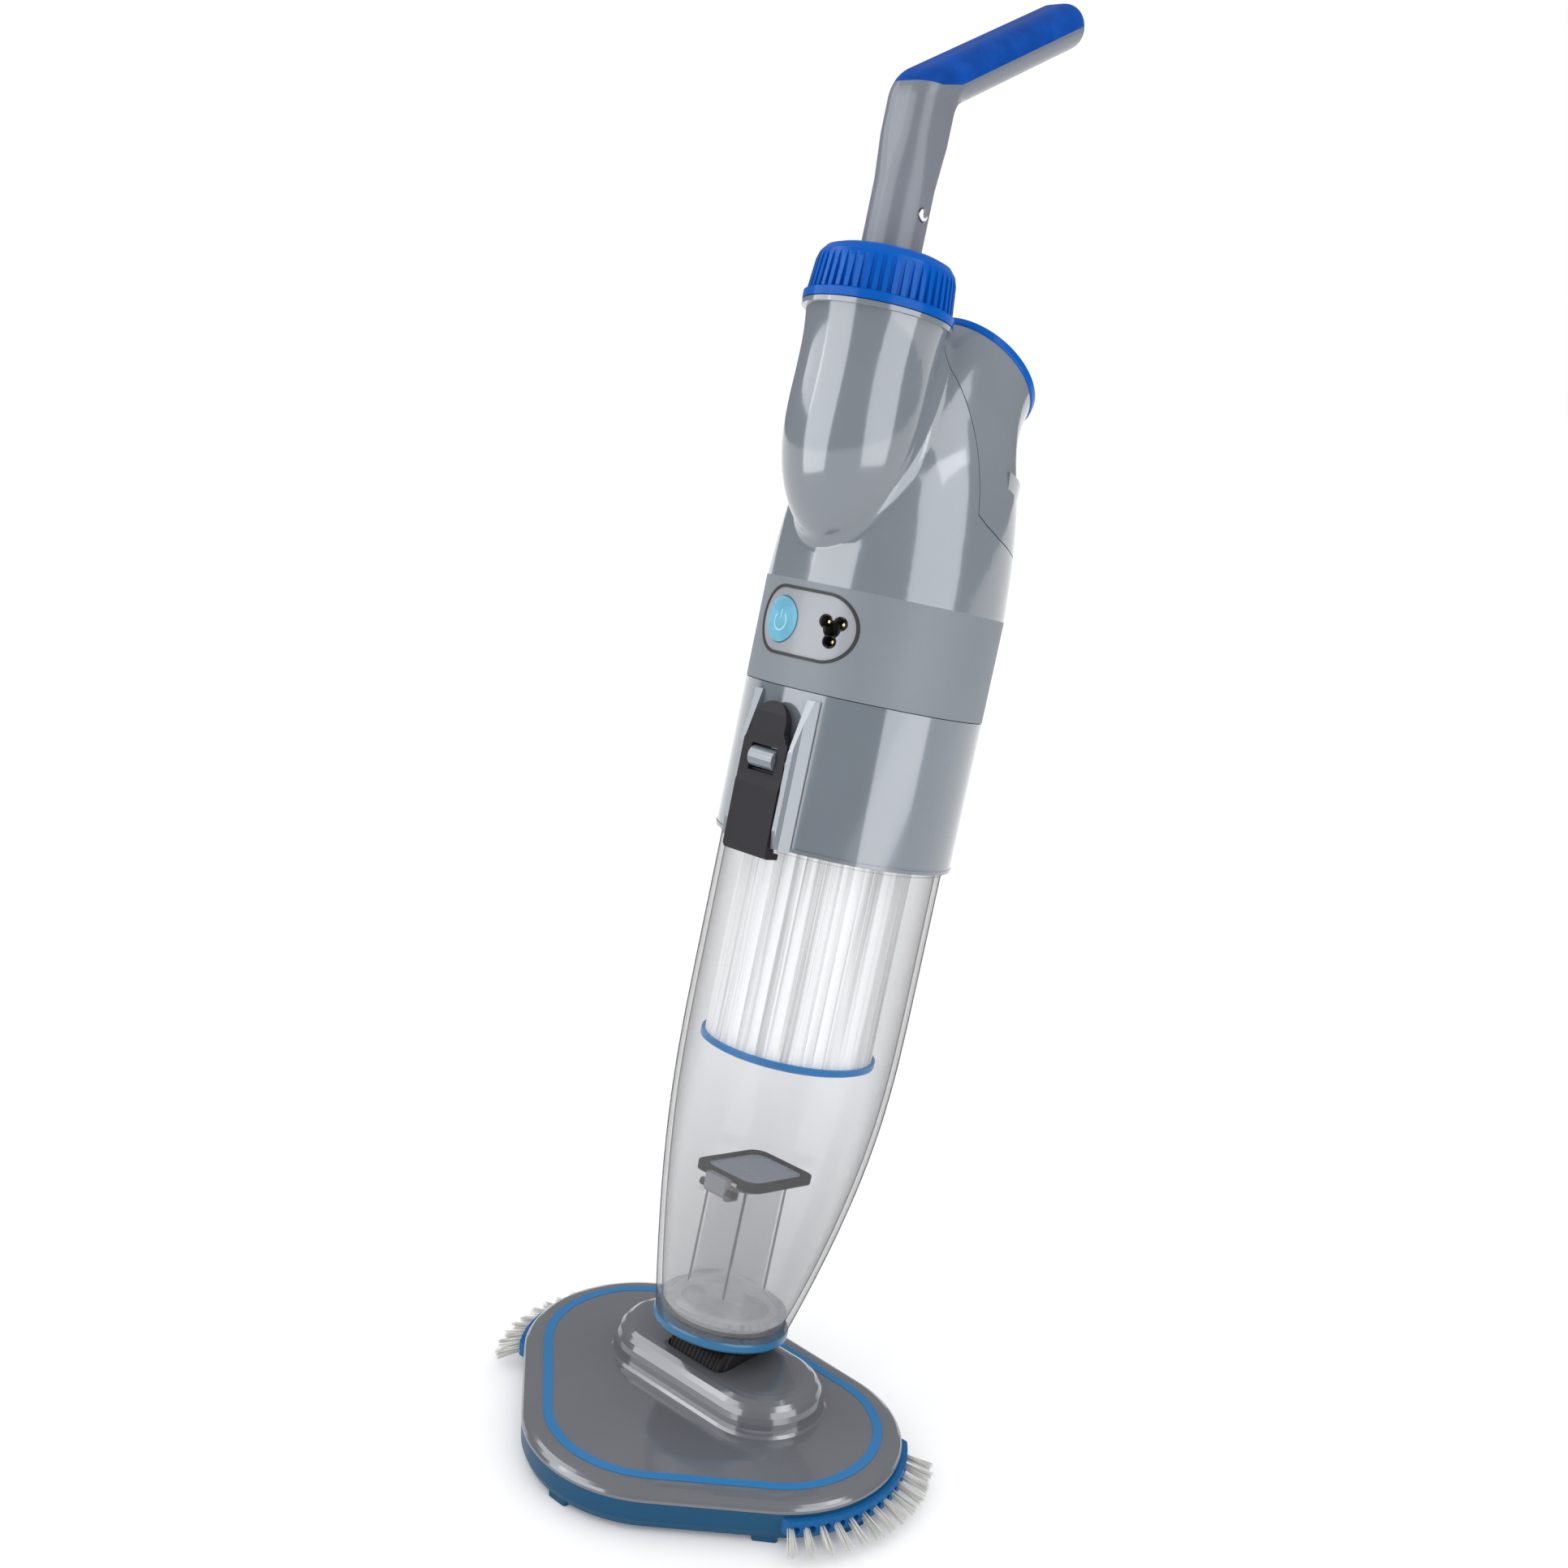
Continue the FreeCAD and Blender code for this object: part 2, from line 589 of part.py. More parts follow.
def neck_knuckle():
    """Black drum that turns in the head's slot, with the bowl that carries the chamber."""
    half, front, seat = float(D.drum_half), float(D.neck_front), float(D.ring_low)
    drum = neck_drum(float(D.drum_r), half)
    drum = drum.cut(block(-half - 1, half + 1, -60, 60, -60, -6))
    drum = drum.cut(block(-half - 1, half + 1, -60, 60, seat, 60))
    level = float(D.hump_z) + float(D.bowl_lift) - float(D.pivot_z)
    lean = math.radians(float(D.lean))
    foot = ring_wire(0, level * math.sin(lean) - 1.7, level * math.cos(lean), half - 0.2, -float(D.lean))
    bowl = loft([foot, ring_wire(0, -front, seat, float(D.neck_r) - 1.2)], True)
    relief = [(-60, -30), (-60, 13.5), (-4, 14.5), (1, 16), (13, seat - 0.2), (60, seat - 0.2), (60, -30)]
    for side in (-1, 1):
        bowl = bowl.cut(prism(relief, 15, side * (half + 15)))
    spigot = cylinder(float(D.neck_r) - 6.0, float(D.ring_high) - seat + 1, V(0, -front, seat - 1))
    knuckle = drum.fuse(bowl).fuse(spigot)
    knuckle = knuckle.cut(cylinder(D.neck_bore_r, 80, V(0, -front, -20)))
    hole = float(D.neck_pin_r) + float(D.pin_fit)
    for x in (-half - 1, half - 9):
        knuckle = knuckle.cut(cylinder(hole, 10.0, V(x, 0, 0), V(1, 0, 0)))
    return knuckle.removeSplitter()


formed("neck_knuckle", neck_knuckle(), WAND)

# blue ring between knuckle and chamber
turned(
    "neck_ring",
    [
        (D.neck_r - 6.0, 0.0), (D.neck_r - 0.4, 0.0), (D.neck_r + 0.6, 1.2),
        (D.neck_r + 0.6, D.ring_high - D.ring_low - 1.0), (D.neck_r, D.ring_high - D.ring_low),
        (D.neck_r - 6.0, D.ring_high - D.ring_low),
    ],
    WAND * shift(0, -D.neck_front, D.ring_low),
)

# stations of the chamber: share of the way from neck to chamber radius, and height
CHAMBER_STATIONS = [(0.0, 28.5), (0.30, 58.0), (0.64, 98.0), (0.89, 142.0), (0.985, 182.0), (1.0, 215.0)]


def chamber_form(body, kind, inset, low_lift):
    """Lofts the chamber's wall through its round stations."""
    sketches = []
    grow = D.chamber_r - D.neck_r
    for share, height in CHAMBER_STATIONS:
        radius = D.neck_r + grow * share - inset
        lift = height + low_lift * (1.0 if share == 0.0 else 0.0)
        sketches.append(circles(body, "XY_Plane", [(0.0, D.neck_front * (share - 1.0), radius)], lift))
    item = body.newObject("PartDesign::" + kind, kind)
    item.Profile = sketches[0]
    item.Sections = sketches[1:]
    item.Ruled = False
    doc.recompute()
    return item


body = new_body("debris_chamber")
chamber_form(body, "AdditiveLoft", 0.0, 0.0)
straight = 215.0
feature(body, "Pad", circles(body, "XY_Plane", [(0.0, 0.0, D.chamber_r)], straight), Length=D.chamber_top - straight)
chamber_form(body, "SubtractiveLoft", D.chamber_wall, 2.5)
hollow = circles(body, "XY_Plane", [(0.0, 0.0, D.chamber_r - D.chamber_wall)], straight)
feature(body, "Pocket", hollow, Length=D.chamber_top - straight, Reversed=True)
feature(body, "Pocket", circles(body, "XY_Plane", [(0.0, -D.neck_front, D.neck_bore_r)], 40.0), Length=20.0)
catch = polygon(
    body, "YZ_Plane",
    [
        (-(D.chamber_r - 1.2), D.latch_low + 3.6), (-(D.house_r + 1.0), D.latch_low + 3.6),
        (-(D.house_r + 1.0), D.skirt_low - 0.4), (-(D.chamber_r - 1.2), D.skirt_low - 0.4),
    ],
)
feature(body, "Pad", catch, Length=2 * D.latch_half - 5.0, Midplane=True)
rim = circles(body, "XY_Plane", [(0.0, 0.0, D.chamber_r + 1.0), (0.0, 0.0, D.chamber_r - 1.0)], D.skirt_low - 2.2)
feature(body, "Pad", rim, Length=1.6)
keep(body, "debris_chamber", WAND)


def duct_box(grow, low, high):
    """The square inlet riser's form, grown by a wall."""
    half, deep, y = float(D.duct_half) + grow, float(D.duct_depth) / 2 + grow, -float(D.duct_y)
    middle = V(0, y, float(low))
    wire = rounded_wire(middle, V(1, 0, 0), V(0, 1, 0), 2 * half, 2 * deep, 3.0 + grow)
    return Part.Face(wire).extrude(V(0, 0, float(high) - float(low)))


DUCT_FOOT = 31.5


def inlet_duct():
    """Clear riser that lifts the water above the debris, with a flange for the flap."""
    front = float(D.neck_front)
    foot = loft([ring_wire(0, -front, DUCT_FOOT, float(D.neck_r) - 6.5),
                 ring_wire(0, -front - 1, DUCT_FOOT + 5, float(D.neck_r) - 6.5),
                 ring_wire(0, -front - 3, DUCT_FOOT + 14, float(D.neck_r) - 15.5)], True)
    riser = foot.fuse(duct_box(0.0, DUCT_FOOT + 6, D.duct_top))
    flange = duct_box(2.6, float(D.duct_top) - 2.0, D.duct_top)
    riser = riser.fuse(flange)
    riser = riser.cut(duct_box(-float(D.duct_wall), DUCT_FOOT + 14, float(D.duct_top) + 1))
    riser = riser.cut(cylinder(D.neck_bore_r, 16, V(0, -front, DUCT_FOOT - 1)))
    for x in (-9.0, 9.0):
        ear = block(x - 1.5, x + 1.5, HINGE_Y - 3.4, HINGE_Y + 4.8, HINGE_Z - 3.4, HINGE_Z + 3.4)
        riser = riser.fuse(ear)
    return riser.cut(hinge_rod(2.05)).removeSplitter()


HINGE_Y = -float(D.duct_y) - float(D.duct_depth) / 2 - 6.4
HINGE_Z = float(D.duct_top) - 4.0
FLAP_BACK = HINGE_Y + 0.8 + float(D.flap_depth)


def hinge_rod(radius):
    """The flap's hinge line as a rod."""
    return cylinder(radius, 24.0, V(-12.0, HINGE_Y, HINGE_Z), V(1, 0, 0))


formed("inlet_duct", inlet_duct(), WAND)
formed("flap_pin", hinge_rod(2.05), WAND)


def flap_outline(grow, low, high):
    """The flap's rounded plate between two heights."""
    wire = rounded_wire(
        V(0, FLAP_BACK - float(D.flap_depth) / 2, float(low)), V(1, 0, 0), V(0, 1, 0),
        2 * (float(D.flap_half) + grow), float(D.flap_depth) + 2 * grow, 8.0,
    )
    return Part.Face(wire).extrude(V(0, 0, float(high) - float(low)))


FLAP_LOW = float(D.duct_top) + 0.3


def flap_plate():
    """Grey flap with the hinge barrel at its front edge."""
    top = FLAP_LOW + 1.4 + float(D.flap_thick)
    plate = flap_outline(-1.2, FLAP_LOW + 1.2, top)
    barrel = cylinder(3.6, 14.4, V(-7.2, HINGE_Y, HINGE_Z), V(1, 0, 0))
    web = block(-7.2, 7.2, HINGE_Y - 3.6, HINGE_Y + 1.0, HINGE_Z, top)
    tongue = block(-7.2, 7.2, HINGE_Y - 3.6, HINGE_Y + 6.0, FLAP_LOW + 1.2, top)
    plate = plate.fuse(barrel).fuse(web).fuse(tongue)
    return plate.cut(hinge_rod(2.05 + float(D.pin_fit))).removeSplitter()


def flap_seal():
    """Dark rubber rim that closes on the riser's flange."""
    high = FLAP_LOW + 1.2
    rim = flap_outline(0.0, FLAP_LOW, high + 2.6).cut(flap_outline(-float(D.flap_rim), FLAP_LOW - 1, high + 4))
    rim = rim.fuse(flap_outline(0.0, FLAP_LOW, high).cut(flap_outline(-7.4, FLAP_LOW - 1, high + 1)))
    ears = cylinder(6.4, 22.4, V(-11.2, HINGE_Y, HINGE_Z), V(1, 0, 0))
    return rim.cut(flap_plate()).cut(ears).removeSplitter()


formed("flap_plate", flap_plate(), WAND)
formed("flap_seal", flap_seal(), WAND)

# ---------------------------------------------------------------- filter cartridge

FILTER = WAND * shift(0, -2.0, D.filter_low)
FILTER_TALL = D.bulkhead - D.filter_low
turned(
    "filter_rim",
    [
        (0.0, 0.0), (D.filter_r - 2.0, 0.0), (D.filter_r + 1.2, 1.4), (D.filter_r + 1.2, D.filter_rim),
        (D.filter_r - 0.6, D.filter_rim), (D.filter_r - 0.6, D.filter_rim - 1.6), (0.0, D.filter_rim - 1.6),
    ],
    FILTER,
)

# pleated cartridge: a round sleeve with V grooves cut all round
body = new_body("filter_pleats")
pleat_base = D.filter_rim - 1.6
pleat_tall = FILTER_TALL - 8.0 - pleat_base
sleeve = circles(body, "XY_Plane", [(0.0, 0.0, D.filter_r - 0.8), (0.0, 0.0, D.core_r + 0.2)], pleat_base)
feature(body, "Pad", sleeve, Length=pleat_tall)
pleat_half = (D.filter_r - 0.8) * (math.pi / float(D.pleat_count)) * 0.92
pleat = polygon(
    body, "XY_Plane",
    [
        (D.filter_r - 0.8 - D.pleat_depth, 0.0), (D.filter_r + 0.4, pleat_half), (D.filter_r + 0.4, -pleat_half),
    ],
    pleat_base,
)
cut = feature(body, "Pocket", pleat, Length=pleat_tall, Reversed=True)
polar(body, [cut], D.pleat_count)
keep(body, "filter_pleats", FILTER)

# inner support core with windows for the flow
body = new_body("filter_core")
core = circles(body, "XY_Plane", [(0.0, 0.0, D.core_r), (0.0, 0.0, D.core_r - D.core_wall)], pleat_base)
feature(body, "Pad", core, Length=pleat_tall)
window = polygon(
    body, "YZ_Plane",
    [(-5.0, D.filter_rim + 6.0), (5.0, D.filter_rim + 6.0), (5.0, pleat_tall - 8.0), (-5.0, pleat_tall - 8.0)],
)
cut = feature(body, "Pocket", window, Length=D.core_r + 2.0)
cut.Reversed = True
doc.recompute()
polar(body, [cut], 8)
keep(body, "filter_core", FILTER)

turned(
    "filter_cap",
    [
        (D.inlet_r, FILTER_TALL - 8.0), (D.filter_r + 1.2, FILTER_TALL - 8.0), (D.filter_r + 1.2, FILTER_TALL - 2.5),
        (D.inlet_r + 6.0, FILTER_TALL - 2.5), (D.inlet_r + 6.0, FILTER_TALL), (D.inlet_r, FILTER_TALL),
    ],
    FILTER,
)

# ---------------------------------------------------------------- motor housing

INNER_R = D.house_r - D.house_wall

turned(
    "chamber_seal",
    [
        (D.chamber_r - D.chamber_wall, 0.0), (D.chamber_r, 0.0),
        (D.chamber_r, D.bulkhead - D.chamber_top), (D.chamber_r - D.chamber_wall, D.bulkhead - D.chamber_top),
    ],
    WAND * shift(z=D.chamber_top),
)
turned(
    "bulkhead",
    [
        (D.inlet_r, 0.0), (INNER_R - 0.1, 0.0), (INNER_R - 0.1, D.bulkhead_thick), (D.inlet_r, D.bulkhead_thick),
    ],
    WAND * shift(z=D.bulkhead),
)
LATCH_BACK = float(D.house_r) + 1.0
LATCH_FACE = LATCH_BACK + float(D.latch_thick)
LATCH_PIN_Y = -(LATCH_BACK + float(D.latch_thick) / 2)


def rail(side):
    """One of the two raised rails that flank the latch and carry its pin, wider at its root."""
    low, pin, top = float(D.skirt_low), float(D.latch_pin_h), float(D.latch_high)
    face, root = LATCH_FACE - 0.6, float(D.house_r) - 3.0
    side_view = [
        (-root, low), (-float(D.house_r) - 4.6, low), (-face, low + 9), (-face, pin + 6),
        (-face + 2.2, pin + 15), (-float(D.house_r) + 0.2, top + 4), (-root, top + 4),
    ]
    inner = float(D.latch_half) + 0.5
    tip, wide = inner + float(D.rail_thick), inner + float(D.rail_root)
    middle = (tip + wide) / 2 - 1.2
    section = [(inner, -root), (inner, -face - 1), (tip - 1.0, -face - 1), (tip, -face + 0.6),
               (middle, -(face + root) / 2 - 1.0), (wide, -float(D.house_r) + 2.4), (wide, -root)]
    corners = [V(side * x, y, low) for x, y in section]
    flank = Part.Face(Part.makePolygon(corners + corners[:1])).extrude(V(0, 0, top + 6 - low))
    return flank.common(prism(side_view, float(D.rail_root) / 2 + 1, side * (inner + float(D.rail_root) / 2)))


def latch_hinge(radius, half, gap):
    """The housing's hinge barrel behind the latch's window, or the room round it."""
    pin_h = float(D.latch_pin_h)
    barrel = cylinder(radius, 2 * half, V(-half, LATCH_PIN_Y, pin_h), V(1, 0, 0))
    root = block(-half, half, LATCH_PIN_Y, -float(INNER_R) - 1, pin_h - radius, pin_h + radius)
    return barrel.fuse(root) if gap else barrel.fuse(root).removeSplitter()


def lower_housing():
    """Grey skirt of the motor housing with the latch rails, the ledge for the bulkhead and the chamber guide."""
    low = float(D.skirt_low)
    body_shell = tube(D.house_r, INNER_R, low, float(D.seam_low) - float(D.seam_gap))
    ledge = float(D.bulkhead) + float(D.bulkhead_thick)
    body_shell = body_shell.fuse(tube(float(INNER_R) + 0.5, float(INNER_R) - 4.0, ledge, ledge + 2.5))
    for side in (-1, 1):
        body_shell = body_shell.fuse(rail(side).cut(cylinder(INNER_R, 100, V(0, 0, low - 2))))
    body_shell = body_shell.fuse(latch_hinge(float(D.hinge_r), float(D.window_half) - float(D.window_gap), False))
    reach = float(D.latch_half) + 0.5 + float(D.pin_depth)
    pin = cylinder(D.latch_pin_r, 2 * reach, V(-reach, LATCH_PIN_Y, float(D.latch_pin_h)), V(1, 0, 0))
    bead = tube(float(D.house_r) + 0.5, float(D.house_r) - 0.5, low, low + 1.8)
    bead = bead.cut(block(-D.latch_half - 0.4, D.latch_half + 0.4, -90, -50, 280, 300))
    return body_shell.fuse(bead).cut(pin).removeSplitter()


formed("lower_housing", lower_housing(), WAND)
latch_pin_half = D.latch_half + 0.5 + D.pin_depth
pin = primitive(
    "Cylinder", "latch_pin_rod",
    WAND * shift(-latch_pin_half, LATCH_PIN_Y, D.latch_pin_h, V(0, 1, 0), 90),
    Radius=D.latch_pin_r, Height=2 * latch_pin_half,
)
keep(pin, "latch_pin", pin.Placement)


def latch_lever():
    """Charcoal latch: narrow thumb knob, window over the hinge barrel, long plate and the hook under the catch."""
    low, high, pin_h = float(D.latch_low), float(D.latch_high), float(D.latch_pin_h)
    back, face, half, knob = LATCH_BACK, LATCH_FACE, float(D.latch_half), float(D.knob_half)
    side_view = [
        (-back, low), (-face + 1.5, low), (-face, low + 2.0), (-face - 0.4, pin_h - 14), (-face + 0.6, pin_h - 9),
        (-face, pin_h + 2), (-face, pin_h + 8), (-face - 0.6, high - 15), (-face - 0.2, high - 6),
        (-face + 1.4, high), (-back - 2.7, high), (-back - 1.8, pin_h + 14), (-back, pin_h + 2),
    ]
    lever = prism(side_view, half)
    hook = block(-half, half, -back - 0.5, -float(D.chamber_r) - 0.8, low, low + 3.0)
    lever = lever.fuse(hook)
    lever = lever.cut(latch_hinge(float(D.hinge_r) + 0.6, float(D.window_half), True))
    window = block(-D.window_half, D.window_half, -face - 8, LATCH_PIN_Y, pin_h - 7.2, pin_h + 6.4)
    lever = lever.cut(window)
    lever = lever.cut(cylinder(float(D.latch_pin_r) + float(D.pin_fit), 2 * half + 2,
                               V(-half - 1, LATCH_PIN_Y, pin_h), V(1, 0, 0)))
    front = [V(x, -face - 12, z) for x, z in (
        (-half, low - 1), (half, low - 1), (half, pin_h + 8), (knob, pin_h + 14), (knob, high - knob),
        (-knob, high - knob), (-knob, pin_h + 14), (-half, pin_h + 8))]
    outline_plate = Part.Face(Part.makePolygon(front + front[:1])).extrude(V(0, 30, 0))
    crest = Part.makeCylinder(knob, 30, V(0, -face - 12, high - knob), V(0, 1, 0))
    return lever.common(outline_plate.fuse(crest)).removeSplitter()


formed("latch_lever", latch_lever(), WAND)

# ---------------------------------------------------------------- pump, motor and battery

PUMP_LOW = D.bulkhead + D.bulkhead_thick
body = new_body("pump_casing")
revolve(
    body,
    [
        (D.inlet_r + 2.0, 0.0), (D.pump_r, 0.0), (D.pump_r, D.pump_height), (D.shaft_r + 4.0, D.pump_height),
        (D.shaft_r + 4.0, D.pump_height - D.pump_wall), (D.pump_r - D.pump_wall, D.pump_height - D.pump_wall),
        (D.pump_r - D.pump_wall, D.pump_wall), (D.inlet_r + 2.0, D.pump_wall),
    ],
)
port = circles(body, "XY_Plane", [(0.0, D.pipe_y, D.pipe_r - D.pipe_wall)], D.pump_height)
feature(body, "Pocket", port, Length=D.pump_wall + 1.0)
keep(body, "pump_casing", WAND * shift(z=PUMP_LOW))

turned(
    "shaft_seal",
    [
        (D.shaft_r + D.shaft_fit, 0.0), (D.shaft_r + 4.0, 0.0), (D.shaft_r + 4.0, D.pump_wall),
        (D.shaft_r + D.shaft_fit, D.pump_wall),
    ],
    WAND * shift(z=PUMP_LOW + D.pump_height - D.pump_wall),
)

# impeller: back plate, hub and curved-back blades
body = new_body("impeller")
plate = circles(body, "XY_Plane", [(0.0, 0.0, D.impeller_r)], D.blade_height)
feature(body, "Pad", plate, Length=2.0)
hub = circles(body, "XY_Plane", [(0.0, 0.0, 7.0)])
feature(body, "Pad", hub, Length=D.blade_height + 6.0)
blade = polygon(
    body, "XY_Plane",
    [(5.0, -0.8), (D.impeller_r * 0.62, 2.4), (D.impeller_r - 1.2, 9.2), (D.impeller_r - 2.4, 10.6),
     (D.impeller_r * 0.60, 4.4), (5.0, 1.0)],
)
blade = feature(body, "Pad", blade, Length=D.blade_height + 0.5)
polar(body, [blade], D.blade_count)
bore = circles(body, "XY_Plane", [(0.0, 0.0, D.shaft_r)])
feature(body, "Pocket", bore, Type=1, Reversed=True)
keep(body, "impeller", WAND * shift(z=PUMP_LOW + D.pump_wall + 1.0))

SHAFT_LOW = PUMP_LOW + D.pump_wall + 1.0
SHAFT = primitive(
    "Cylinder", "motor_shaft_rod", WAND * shift(z=SHAFT_LOW), Radius=D.shaft_r, Height=D.pump_height + 10.0,
)
keep(SHAFT, "motor_shaft", SHAFT.Placement)

MOTOR_LOW = PUMP_LOW + D.pump_height
turned(
    "motor",
    [
        (D.shaft_r + D.shaft_fit, 0.0), (D.motor_r - 6.0, 0.0), (D.motor_r - 6.0, 3.0), (D.motor_r, 3.0),
        (D.motor_r, D.motor_length - 4.0), (D.motor_r - 2.0, D.motor_length), (5.0, D.motor_length),
        (5.0, D.motor_length + 2.5), (0.0, D.motor_length + 2.5), (0.0, 14.0), (D.shaft_r + D.shaft_fit, 14.0),
    ],
    WAND * shift(z=MOTOR_LOW),
)

CELL_LOW = float(D.seam_low) + 4.0
CELL_XS = [k * float(D.cell_pitch) for k in (-1, 0, 1)]
cells = [cylinder(D.cell_r, D.cell_length, V(x, -float(D.cell_y), CELL_LOW)) for x in CELL_XS]
formed("battery_cells", Part.makeCompound(cells), WAND)


def battery_holder():
    """Tray with end cups for the cells and a back plate that carries the board."""
    low, high = CELL_LOW - 3.0, CELL_LOW + float(D.cell_length) + 3.0
    reach, y = float(D.cell_pitch) + float(D.cell_r) + 1.5, -float(D.cell_y)
    back_y = y + float(D.cell_r) + 0.4
    tray = block(-reach, reach, back_y, back_y + 2.0, low, high)
    for start, stop in ((low, low + 6.0), (high - 6.0, high)):
        tray = tray.fuse(block(-reach, reach, y - 4.0, back_y + 1.0, start, stop))
    for x in CELL_XS:
        tray = tray.cut(cylinder(float(D.cell_r) + 0.15, D.cell_length, V(x, y, CELL_LOW)))
    for x in (-reach + 3.0, reach - 3.0):
        leg_low = float(PUMP_LOW) + float(D.pump_height)
        tray = tray.fuse(block(x - 2.0, x + 2.0, back_y - 3.0, back_y + 2.0, leg_low, low + 1.0))
    return tray.removeSplitter()


formed("battery_holder", battery_holder(), WAND)
BOARD_Y = -float(D.cell_y) + float(D.cell_r) + 2.4
BOARD = primitive(
    "Box", "circuit_board_plate", WAND * shift(-24.0, BOARD_Y, CELL_LOW + 2.0),
    Length=D.cell_pitch * 2 + 10.0, Width=1.6 + 0.0 * D.cell_r, Height=D.cell_length - 6.0,
)
keep(BOARD, "circuit_board", BOARD.Placement)

# ---------------------------------------------------------------- band and control panel


def panel_form(shrink, r_in, r_out):
    """A stadium window of the control panel, between two radii of the housing."""
    half, high, z = float(D.panel_half) - shrink, float(D.panel_high) - shrink, float(D.panel_z)
    reach = half - high
    wire = Part.Wire([
        Part.Arc(V(reach, 0, z - high), V(half, 0, z), V(reach, 0, z + high)).toShape(),
        Part.LineSegment(V(reach, 0, z + high), V(-reach, 0, z + high)).toShape(),
        Part.Arc(V(-reach, 0, z + high), V(-half, 0, z), V(-reach, 0, z - high)).toShape(),
        Part.LineSegment(V(-reach, 0, z - high), V(reach, 0, z - high)).toShape(),
    ])
    cutter = Part.Face(wire).extrude(V(0, -90, 0))
    low = z - float(D.panel_high) - 1
    return cutter.common(tube(r_out, r_in, low, low + 2 * float(D.panel_high) + 2))


BAND_LOW, BAND_HIGH = D.seam_low, D.seam_high
band = tube(D.house_r, INNER_R, BAND_LOW, BAND_HIGH)
lip_r = float(INNER_R) - 0.5
for low, high in ((float(BAND_LOW), float(BAND_LOW) + 2), (float(BAND_HIGH) - 2, float(BAND_HIGH))):
    band = band.fuse(tube(float(INNER_R) + 0.5, lip_r - 1.4, low, high))
    band = band.fuse(tube(lip_r, lip_r - 1.4, low - 3.0, high + 3.0))
band = band.cut(panel_form(0.0, 40, float(D.house_r) + 3))
formed("mid_band", band.removeSplitter(), WAND)
line = float(D.panel_line)
gasket = panel_form(0.0, INNER_R, float(D.house_r) + 0.35).cut(panel_form(line, INNER_R - 1, float(D.house_r) + 1))
formed("panel_gasket", gasket, WAND)


LOBE_SPOTS = [(4.6 * math.cos(math.radians(a)), 6.0 * math.sin(math.radians(a))) for a in (35, 145, 270)]


def lobe_key(grow, r_in, r_out):
    """The three-lobed outline of the charge port between two radii."""
    x, z = float(D.port_x), float(D.panel_z)
    shape = cylinder(float(D.port_lobe) + grow, 40, V(x, -45, z), V(0, -1, 0))
    for dx, dz in LOBE_SPOTS:
        shape = shape.fuse(cylinder(float(D.port_lobe) - 0.9 + grow, 40, V(x + dx, -45, z + dz), V(0, -1, 0)))
    high = float(D.panel_high)
    return shape.common(tube(r_out, r_in, z - high, z + high)).removeSplitter()


insert = panel_form(line, INNER_R, float(D.house_r) - 0.1)
button_hole = cylinder(D.button_r + D.button_gap, 60, V(-float(D.button_x), -40, float(D.panel_z)), V(0, -1, 0))
insert = insert.cut(button_hole).cut(lobe_key(0.0, 40, 80))
formed("panel_insert", insert.removeSplitter(), WAND)


def power_button():
    """Round button whose face follows the housing's curve, with a retaining rim behind the panel."""
    x, z = -float(D.button_x), float(D.panel_z)
    stem = cylinder(D.button_r, 40, V(x, -50, z), V(0, -1, 0))
    stem = stem.common(cylinder(float(D.house_r) + 0.7, 60, V(0, 0, z - 30)))
    rim = cylinder(float(D.button_r) + 1.6, 2.0, V(x, -53.2, z), V(0, 1, 0))
    return stem.fuse(rim).removeSplitter()


formed("power_button", power_button(), WAND)
contacts = []
CONTACT_END = -float(D.cell_y) - float(D.cell_r) - 1.2
for dx, dz in LOBE_SPOTS:
    x = float(D.port_x) + dx
    y = -math.sqrt((float(D.house_r) - 2.4) ** 2 - x * x)
    contacts.append(cylinder(0.8, CONTACT_END - y, V(x, y, float(D.panel_z) + dz), V(0, 1, 0)))
contacts = Part.makeCompound(contacts)
recess = lobe_key(-float(D.port_wall), float(D.house_r) - float(D.port_deep), float(D.house_r) + 2)
port_form = lobe_key(0.0, float(INNER_R) - 6.0, float(D.house_r) + 0.1).cut(recess).cut(contacts)
formed("charge_port", port_form, WAND)
formed("charge_contacts", contacts, WAND)

# ---------------------------------------------------------------- upper housing and rear cover

POLE = V(0, -float(D.pole_y), 0)
MOUTH_TILT = float(D.mouth_tilt)
MOUTH_AXIS = V(0, math.sin(math.radians(MOUTH_TILT)), math.cos(math.radians(MOUTH_TILT)))
MOUTH = V(0, float(D.mouth_y), MOUTH_H)
RING_SEAT = MOUTH - MOUTH_AXIS * float(D.mouth_ring)


def torso_form(inset):
    """The housing above the band, rising and bending into the outlet chimney."""
    base = float(D.house_r) - inset
    low, high = float(D.seam_high), MOUTH_H
    rise = high - low
    wires = [ring_wire(0, 0, low, base)]
    for share, drop, y, tilt in ((0.19, 1.6, 0.0, 0.0), (0.37, 4.2, 0.5, 3.0), (0.55, 9.0, 3.0, 8.0),
                                 (0.72, 16.5, 9.5, 16.0), (0.86, 22.5, 19.5, 26.0)):
        wires.append(ring_wire(0, y, low + rise * share, base - drop, tilt))
    end = RING_SEAT
    wires.append(ring_wire(0, end.y, end.z, float(D.mouth_r) - inset - 0.3, MOUTH_TILT))
    return loft(wires)


